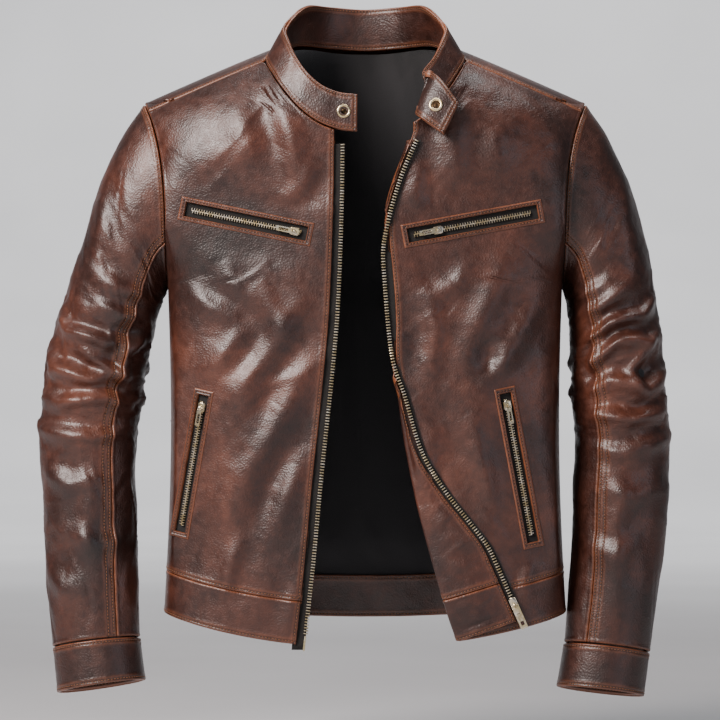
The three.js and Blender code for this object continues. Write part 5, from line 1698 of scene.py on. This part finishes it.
def make_welt_thread(kind, pocket, origin, x, y, z):
    half = np.array([(pocket["length"] + 2 * POCKET_END) / 2 - WELT_ROW,
                     pocket["frame"] / 2 - WELT_ROW * 0.98])
    runs = []
    for a, b in zip(SQUARE[:-1] * half, SQUARE[1:] * half):
        share = np.linspace(0, 1, 40)[:, None]
        path = a * (1 - share) + b * share
        path = origin + path[:, :1] * x + path[:, 1:] * y + 0.55 * z
        runs.append(stitch_copies(path, np.repeat(z[None], 40, 0), trim=1.0))
    add_mesh(f"{kind}_welt_thread_{pocket['side']}", *join([r for r in runs if r]), thread,
             "leather", "torso")


# %% [markdown]
# The pocket zips are closed, so both rows of teeth lie in one line and alternate: the far row
# starts half a pitch on. The slider rests where it was left, and its pull hangs from it.

# %% pocket zips
POCKET_PITCH, POCKET_SCALE, POCKET_START, ROW_APART, ZIP_STEPS = 2.7, 0.78, 0.8, 1.05, 120


def make_pocket_zip(kind, pocket, origin, x, y, z):
    side, length = pocket["side"], pocket["length"]
    t = np.linspace(-1, 1, ZIP_STEPS)[:, None]
    middle = origin + x * t * (length / 2 - 1) + z * TEETH_Z
    ways, outs = np.repeat(y[None], ZIP_STEPS, 0), np.repeat(z[None], ZIP_STEPS, 0)
    near = tooth_row(middle - y * ROW_APART, outs, ways, POCKET_PITCH, POCKET_SCALE,
                     POCKET_START)
    far = tooth_row(middle + y * ROW_APART, outs, -ways, POCKET_PITCH, POCKET_SCALE,
                    POCKET_START + POCKET_PITCH / 2)
    teeth = add_mesh(f"{kind}_teeth_{side}", *join([near, far]), tooth_metal, "zip_teeth",
                     "torso", False)
    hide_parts(f"{kind}_zip_teeth_{side}")
    tape_path = origin + x * t * (length / 2 + 7) + z * (TEETH_Z - 1.6)
    half = np.full(ZIP_STEPS, pocket["slot"] / 2 + 2.6)
    points, faces, uv = ribbon(tape_path, ways, -half, half, outs, TAPE_THICK)
    strip = add_mesh(f"{kind}_tape_{side}", points, faces, tape, "zip_tape", "torso", True,
                     UVMap=uv)
    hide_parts(f"{kind}_zip_tape_{side}")
    at = origin + x * (pocket["rest"] - length / 2) + z * TEETH_Z
    shapes, eye = slider_shapes(SLIDER_LONG, ROW_PAIR, POCKET_TOOTH)
    metal_piece(f"{kind}_slider_{side}", [placed(p, at, x, y, z) for p in shapes], pull_metal,
                "zip_metal", f"{kind}_slider_{side}", f"{kind}_zip_slider_{side}")
    w = pocket["pull"]
    metal_piece(f"{kind}_pull_tab_{side}",
                [placed(p, at, x * w, y * w, z) for p in pull_shapes(20, 5.6, eye)], pull_metal,
                "zip_metal", f"{kind}_pull_{side}", f"{kind}_zip_pull_{side}")
    print(kind, side, "pull turns about", np.round(at + z * eye, 2))


for name, pocket in POCKETS.items():
    kind, axes = name.split("_")[0], pocket_axes(pocket)
    make_welt(kind, pocket, *axes)
    make_welt_thread(kind, pocket, *axes)
    make_pocket_zip(kind, pocket, *axes)

# %% [markdown]
# ## Collar snap
# A ring stud on one end and its socket on the other: turned rings of pale plated brass round
# a dark well.


# %% snap
def snap_at(u, v, depth, way):
    here = collar_surface(depth)(np.array([u]), np.array([v]))[0]
    deeper = collar_surface(depth + 1)(np.array([u]), np.array([v]))[0]
    z = unit(deeper - here) * way
    x = unit(np.cross((0, 0, 1), z))
    return here, x, np.cross(z, x), z


for name, spot, node, rim, well in (
        ("ring_stud", (0.034, 0.5, 0.0, -1), "snap_stud_right",
         [(7.4, 0.5), (7.6, 1.2), (7.1, 2.1), (6.2, 2.6), (5.2, 2.4), (4.6, 1.7), (4.4, 0.9)],
         [(4.5, 0.8), (3.2, 0.9), (2.9, 1.6), (2.3, 2.5), (1.2, 2.9), (0, 3.0)]),
        ("ring_socket", (0.968, 0.45, COLLAR_BEHIND, 1), "snap_socket_left",
         [(7.4, 0.5), (7.6, 1.1), (7.2, 1.9), (6.3, 2.4), (5.2, 2.3), (4.4, 1.6), (4.1, 0.9)],
         [(4.2, 0.8), (3.4, 1.0), (2.9, 0.8), (1.6, 0.9), (0, 1.0)]),
        ("ring_post", (0.034, 0.5, COLLAR_BEHIND, 1), "snap_post_right",
         [(6.4, 0.4), (6.5, 1.0), (5.6, 1.7), (3, 1.9), (0, 1.95)], None),
        ("ring_cap", (0.968, 0.45, 0.0, -1), "snap_cap_left",
         [(6.4, 0.4), (6.5, 1.0), (5.6, 1.7), (3, 1.9), (0, 1.95)], None)):
    frame_at = snap_at(*spot)
    if well:
        rim = rim + [(r, h - 0.6) for r, h in rim[::-1]]
    piece = metal_piece(name, [placed(turned(rim), *frame_at)], snap_metal, "snap_metal", "torso",
                        node, 50)
    if well:
        metal_piece(name + "_well", [placed(turned(well), *frame_at)], snap_dark, "snap_metal",
                    "torso", None, 50)

# %% [markdown]
# ## Lining
# The lining is sewn slightly full, so it hangs in long soft ripples. It is one cloth ply, so
# it is a plain sheet whose flat size is the cut of the body.


# %% lining
def cloth_sheet(name, surface, size, body, inward, node, blended=None):
    u, v = np.meshgrid(np.linspace(0, 1, int(size[0] / 4)), np.linspace(0, 1, int(size[1] / 4)))
    grid = surface(u, v)
    normal = normals_of(grid)
    way = inward - grid if np.ndim(inward) == 1 else inward(grid) - grid
    faces = grid_faces(*u.shape)
    if np.median((normal * way).sum(-1)) < 0:
        faces = faces[:, ::-1]
    uv = np.stack([arc_from(grid, 1), arc_from(grid, 0)], -1).reshape(-1, 2) * 0.001
    piece = add_mesh(name, grid.reshape(-1, 3), faces, lining, "lining", body, UVMap=uv)
    if blended:
        bend_at_armhole(piece)
    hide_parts(node)
    return piece


def drawn_in(point, face, inset, fullness=2.2, seed=71):
    ripple = inset + fullness * (1 + waves(point[..., 0] * 1.5, point[..., 2] * 0.3, 60, seed))
    return point * np.stack([1 - ripple / CHEST_HALF, 1 - ripple / face["depth"],
                             np.ones(ripple.shape)], -1)


def back_lining(u, v):
    body = back_surface(lambda x: band_top(BACK)(x) - 5, lambda x: 0 * x - YOKE_DROP)
    lower = body(u, np.clip(v / 0.7, 0, 1))
    upper = yoke_surface(u, np.clip((v - 0.7) / 0.3, 0, 0.985))
    point = np.where((v < 0.7)[..., None], lower, upper)
    roll = roll_over(BACK, point[..., 0], point[..., 2])
    clear = smooth(v, 0.012, 0.07)
    inner = drawn_in(point, BACK, 3.0 + 4.4 * clear, 2.2 * clear)
    inner[..., 2] -= 9 * np.sqrt(1 - np.clip(roll, 0, 1) ** 2)
    return inner


cloth_sheet("lining_cloth_back", back_lining, (440, 700), "torso", np.array([0, 0, -300.0]),
            "lining_back")
for side in ("right", "left"):
    behind = front_surface(
        side, lambda x: band_top(FRONT)(x) + 3,
        lambda x: front_top(x) - 14 * smooth(NECK_HALF - np.abs(x), 0, 30) - 2,
        lambda z, side=side: panel_edge(side, z) + FACING_BEHIND - 6)

    def front_lining(u, v, behind=behind):
        point = behind(u, v)
        inner = drawn_in(point, FRONT, 8.0, 1.6, 73)
        roll = roll_over(FRONT, point[..., 0], point[..., 2])
        inner[..., 2] -= 8 * np.sqrt(1 - np.clip(roll, 0, 1) ** 2)
        return inner

    cloth_sheet(f"lining_cloth_front_{side}", front_lining, (190, 520), "torso",
                np.array([0, 0, -300.0]), f"lining_front_{side}")
    tube = sleeve_surface(side)

    def sleeve_lining(u, v, tube=tube):
        point = tube(lerp(-180, 180, u), lerp(0.01, 0.985, v), folded=False)
        middle = point.mean(axis=1, keepdims=True)
        return middle + (point - middle) * 0.86

    cloth_sheet(f"lining_cloth_sleeve_{side}", sleeve_lining, (280, 580), None,
                lambda grid: grid.mean(axis=1, keepdims=True), f"sleeve_lining_{side}",
                blended=side)
for kind in ("chest", "hand"):
    for side in ("right", "left"):
        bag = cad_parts[f"{kind}_pocket_bag_{side}"]
        bag.data.materials.clear()
        bag.data.materials.append(lining)

# %% [markdown]
# ## Studio
# One large soft light above and to the left models the folds, and a weak wide one fills the
# right. A strip above lifts the shoulders, a small card by the camera opens the darkest
# folds, and a separate wash lights the wall. The floor sweeps up into that wall in one curve.

# %% floor, lights and camera
FLOOR, BEND_FROM, BEND = -790.0, 5600.0, 3200.0
t = np.linspace(-1, 1, 60)
rise = np.linspace(0.02, math.pi / 2, 32)
profile = np.concatenate([
    np.column_stack([np.linspace(-9000, BEND_FROM, 20), np.full(20, FLOOR)]),
    np.column_stack([BEND_FROM + BEND * np.sin(rise), FLOOR + BEND * (1 - np.cos(rise))]),
    np.column_stack([np.full(12, BEND_FROM + BEND), np.linspace(2600, 8000, 12)])])
sweep = np.stack([np.repeat(t[None] * 12000, len(profile), 0),
                  np.repeat(profile[:, :1], 60, 1), np.repeat(profile[:, 1:], 60, 1)], -1)
backdrop_paint, tree, shader = new_material("pale_backdrop_paint", Roughness=0.85)
place = add_node(tree, "TexCoord").outputs["Object"]
tree.links.new(ramp(tree, noise(tree, place, 1.5), [(0.3, "#b9b9bb"), (0.7, "#c3c3c5")]),
               shader.inputs["Base Color"])
faces = grid_faces(len(profile), 60)
floor = add_mesh("studio_sweep", sweep.reshape(-1, 3), faces, backdrop_paint, None, None)


def area_light(name, place, aim, size, power, tint="#ffffff"):
    lamp = bpy.data.lights.new(name, "AREA")
    lamp.shape, lamp.size, lamp.size_y = "RECTANGLE", size[0], size[1]
    lamp.energy, lamp.color = power, linear(tint)[:3]
    holder = bpy.data.objects.new(name, lamp)
    holder.location = place
    holder.rotation_euler = (Vector(aim) - Vector(place)).to_track_quat("-Z", "Y").to_euler()
    bpy.context.scene.collection.objects.link(holder)


AIM = (0, 0, -0.3)
area_light("key_softbox", (-1.6, -1.8, 1.4), AIM, (1.0, 1.3), 165, "#fff3ee")
area_light("fill_softbox", (2.4, -2.2, 0.2), AIM, (1.2, 1.8), 12, "#eef2ff")
area_light("top_strip", (0.2, 0.3, 1.7), AIM, (1.6, 0.5), 26)
area_light("backdrop_wash", (0, 4.6, 3.4), (0, 8.8, -0.4), (5, 2.5), 430)
area_light("front_card", (-0.2, -3.4, 0.2), AIM, (1.2, 1.2), 7)
world = bpy.data.worlds.new("studio_air")
bpy.context.scene.world = world
world.use_nodes = True
world.node_tree.nodes["Background"].inputs["Color"].default_value = linear("#dfe3ea")
world.node_tree.nodes["Background"].inputs["Strength"].default_value = 0.16

camera_data = bpy.data.cameras.new("camera")
camera_data.lens, camera_data.sensor_width = 185, 36
camera = bpy.data.objects.new("camera", camera_data)
camera.location = (-0.0054, -4.0, -0.342)
camera.rotation_euler = (math.pi / 2, 0, 0)
bpy.context.scene.collection.objects.link(camera)
bpy.context.scene.camera = camera
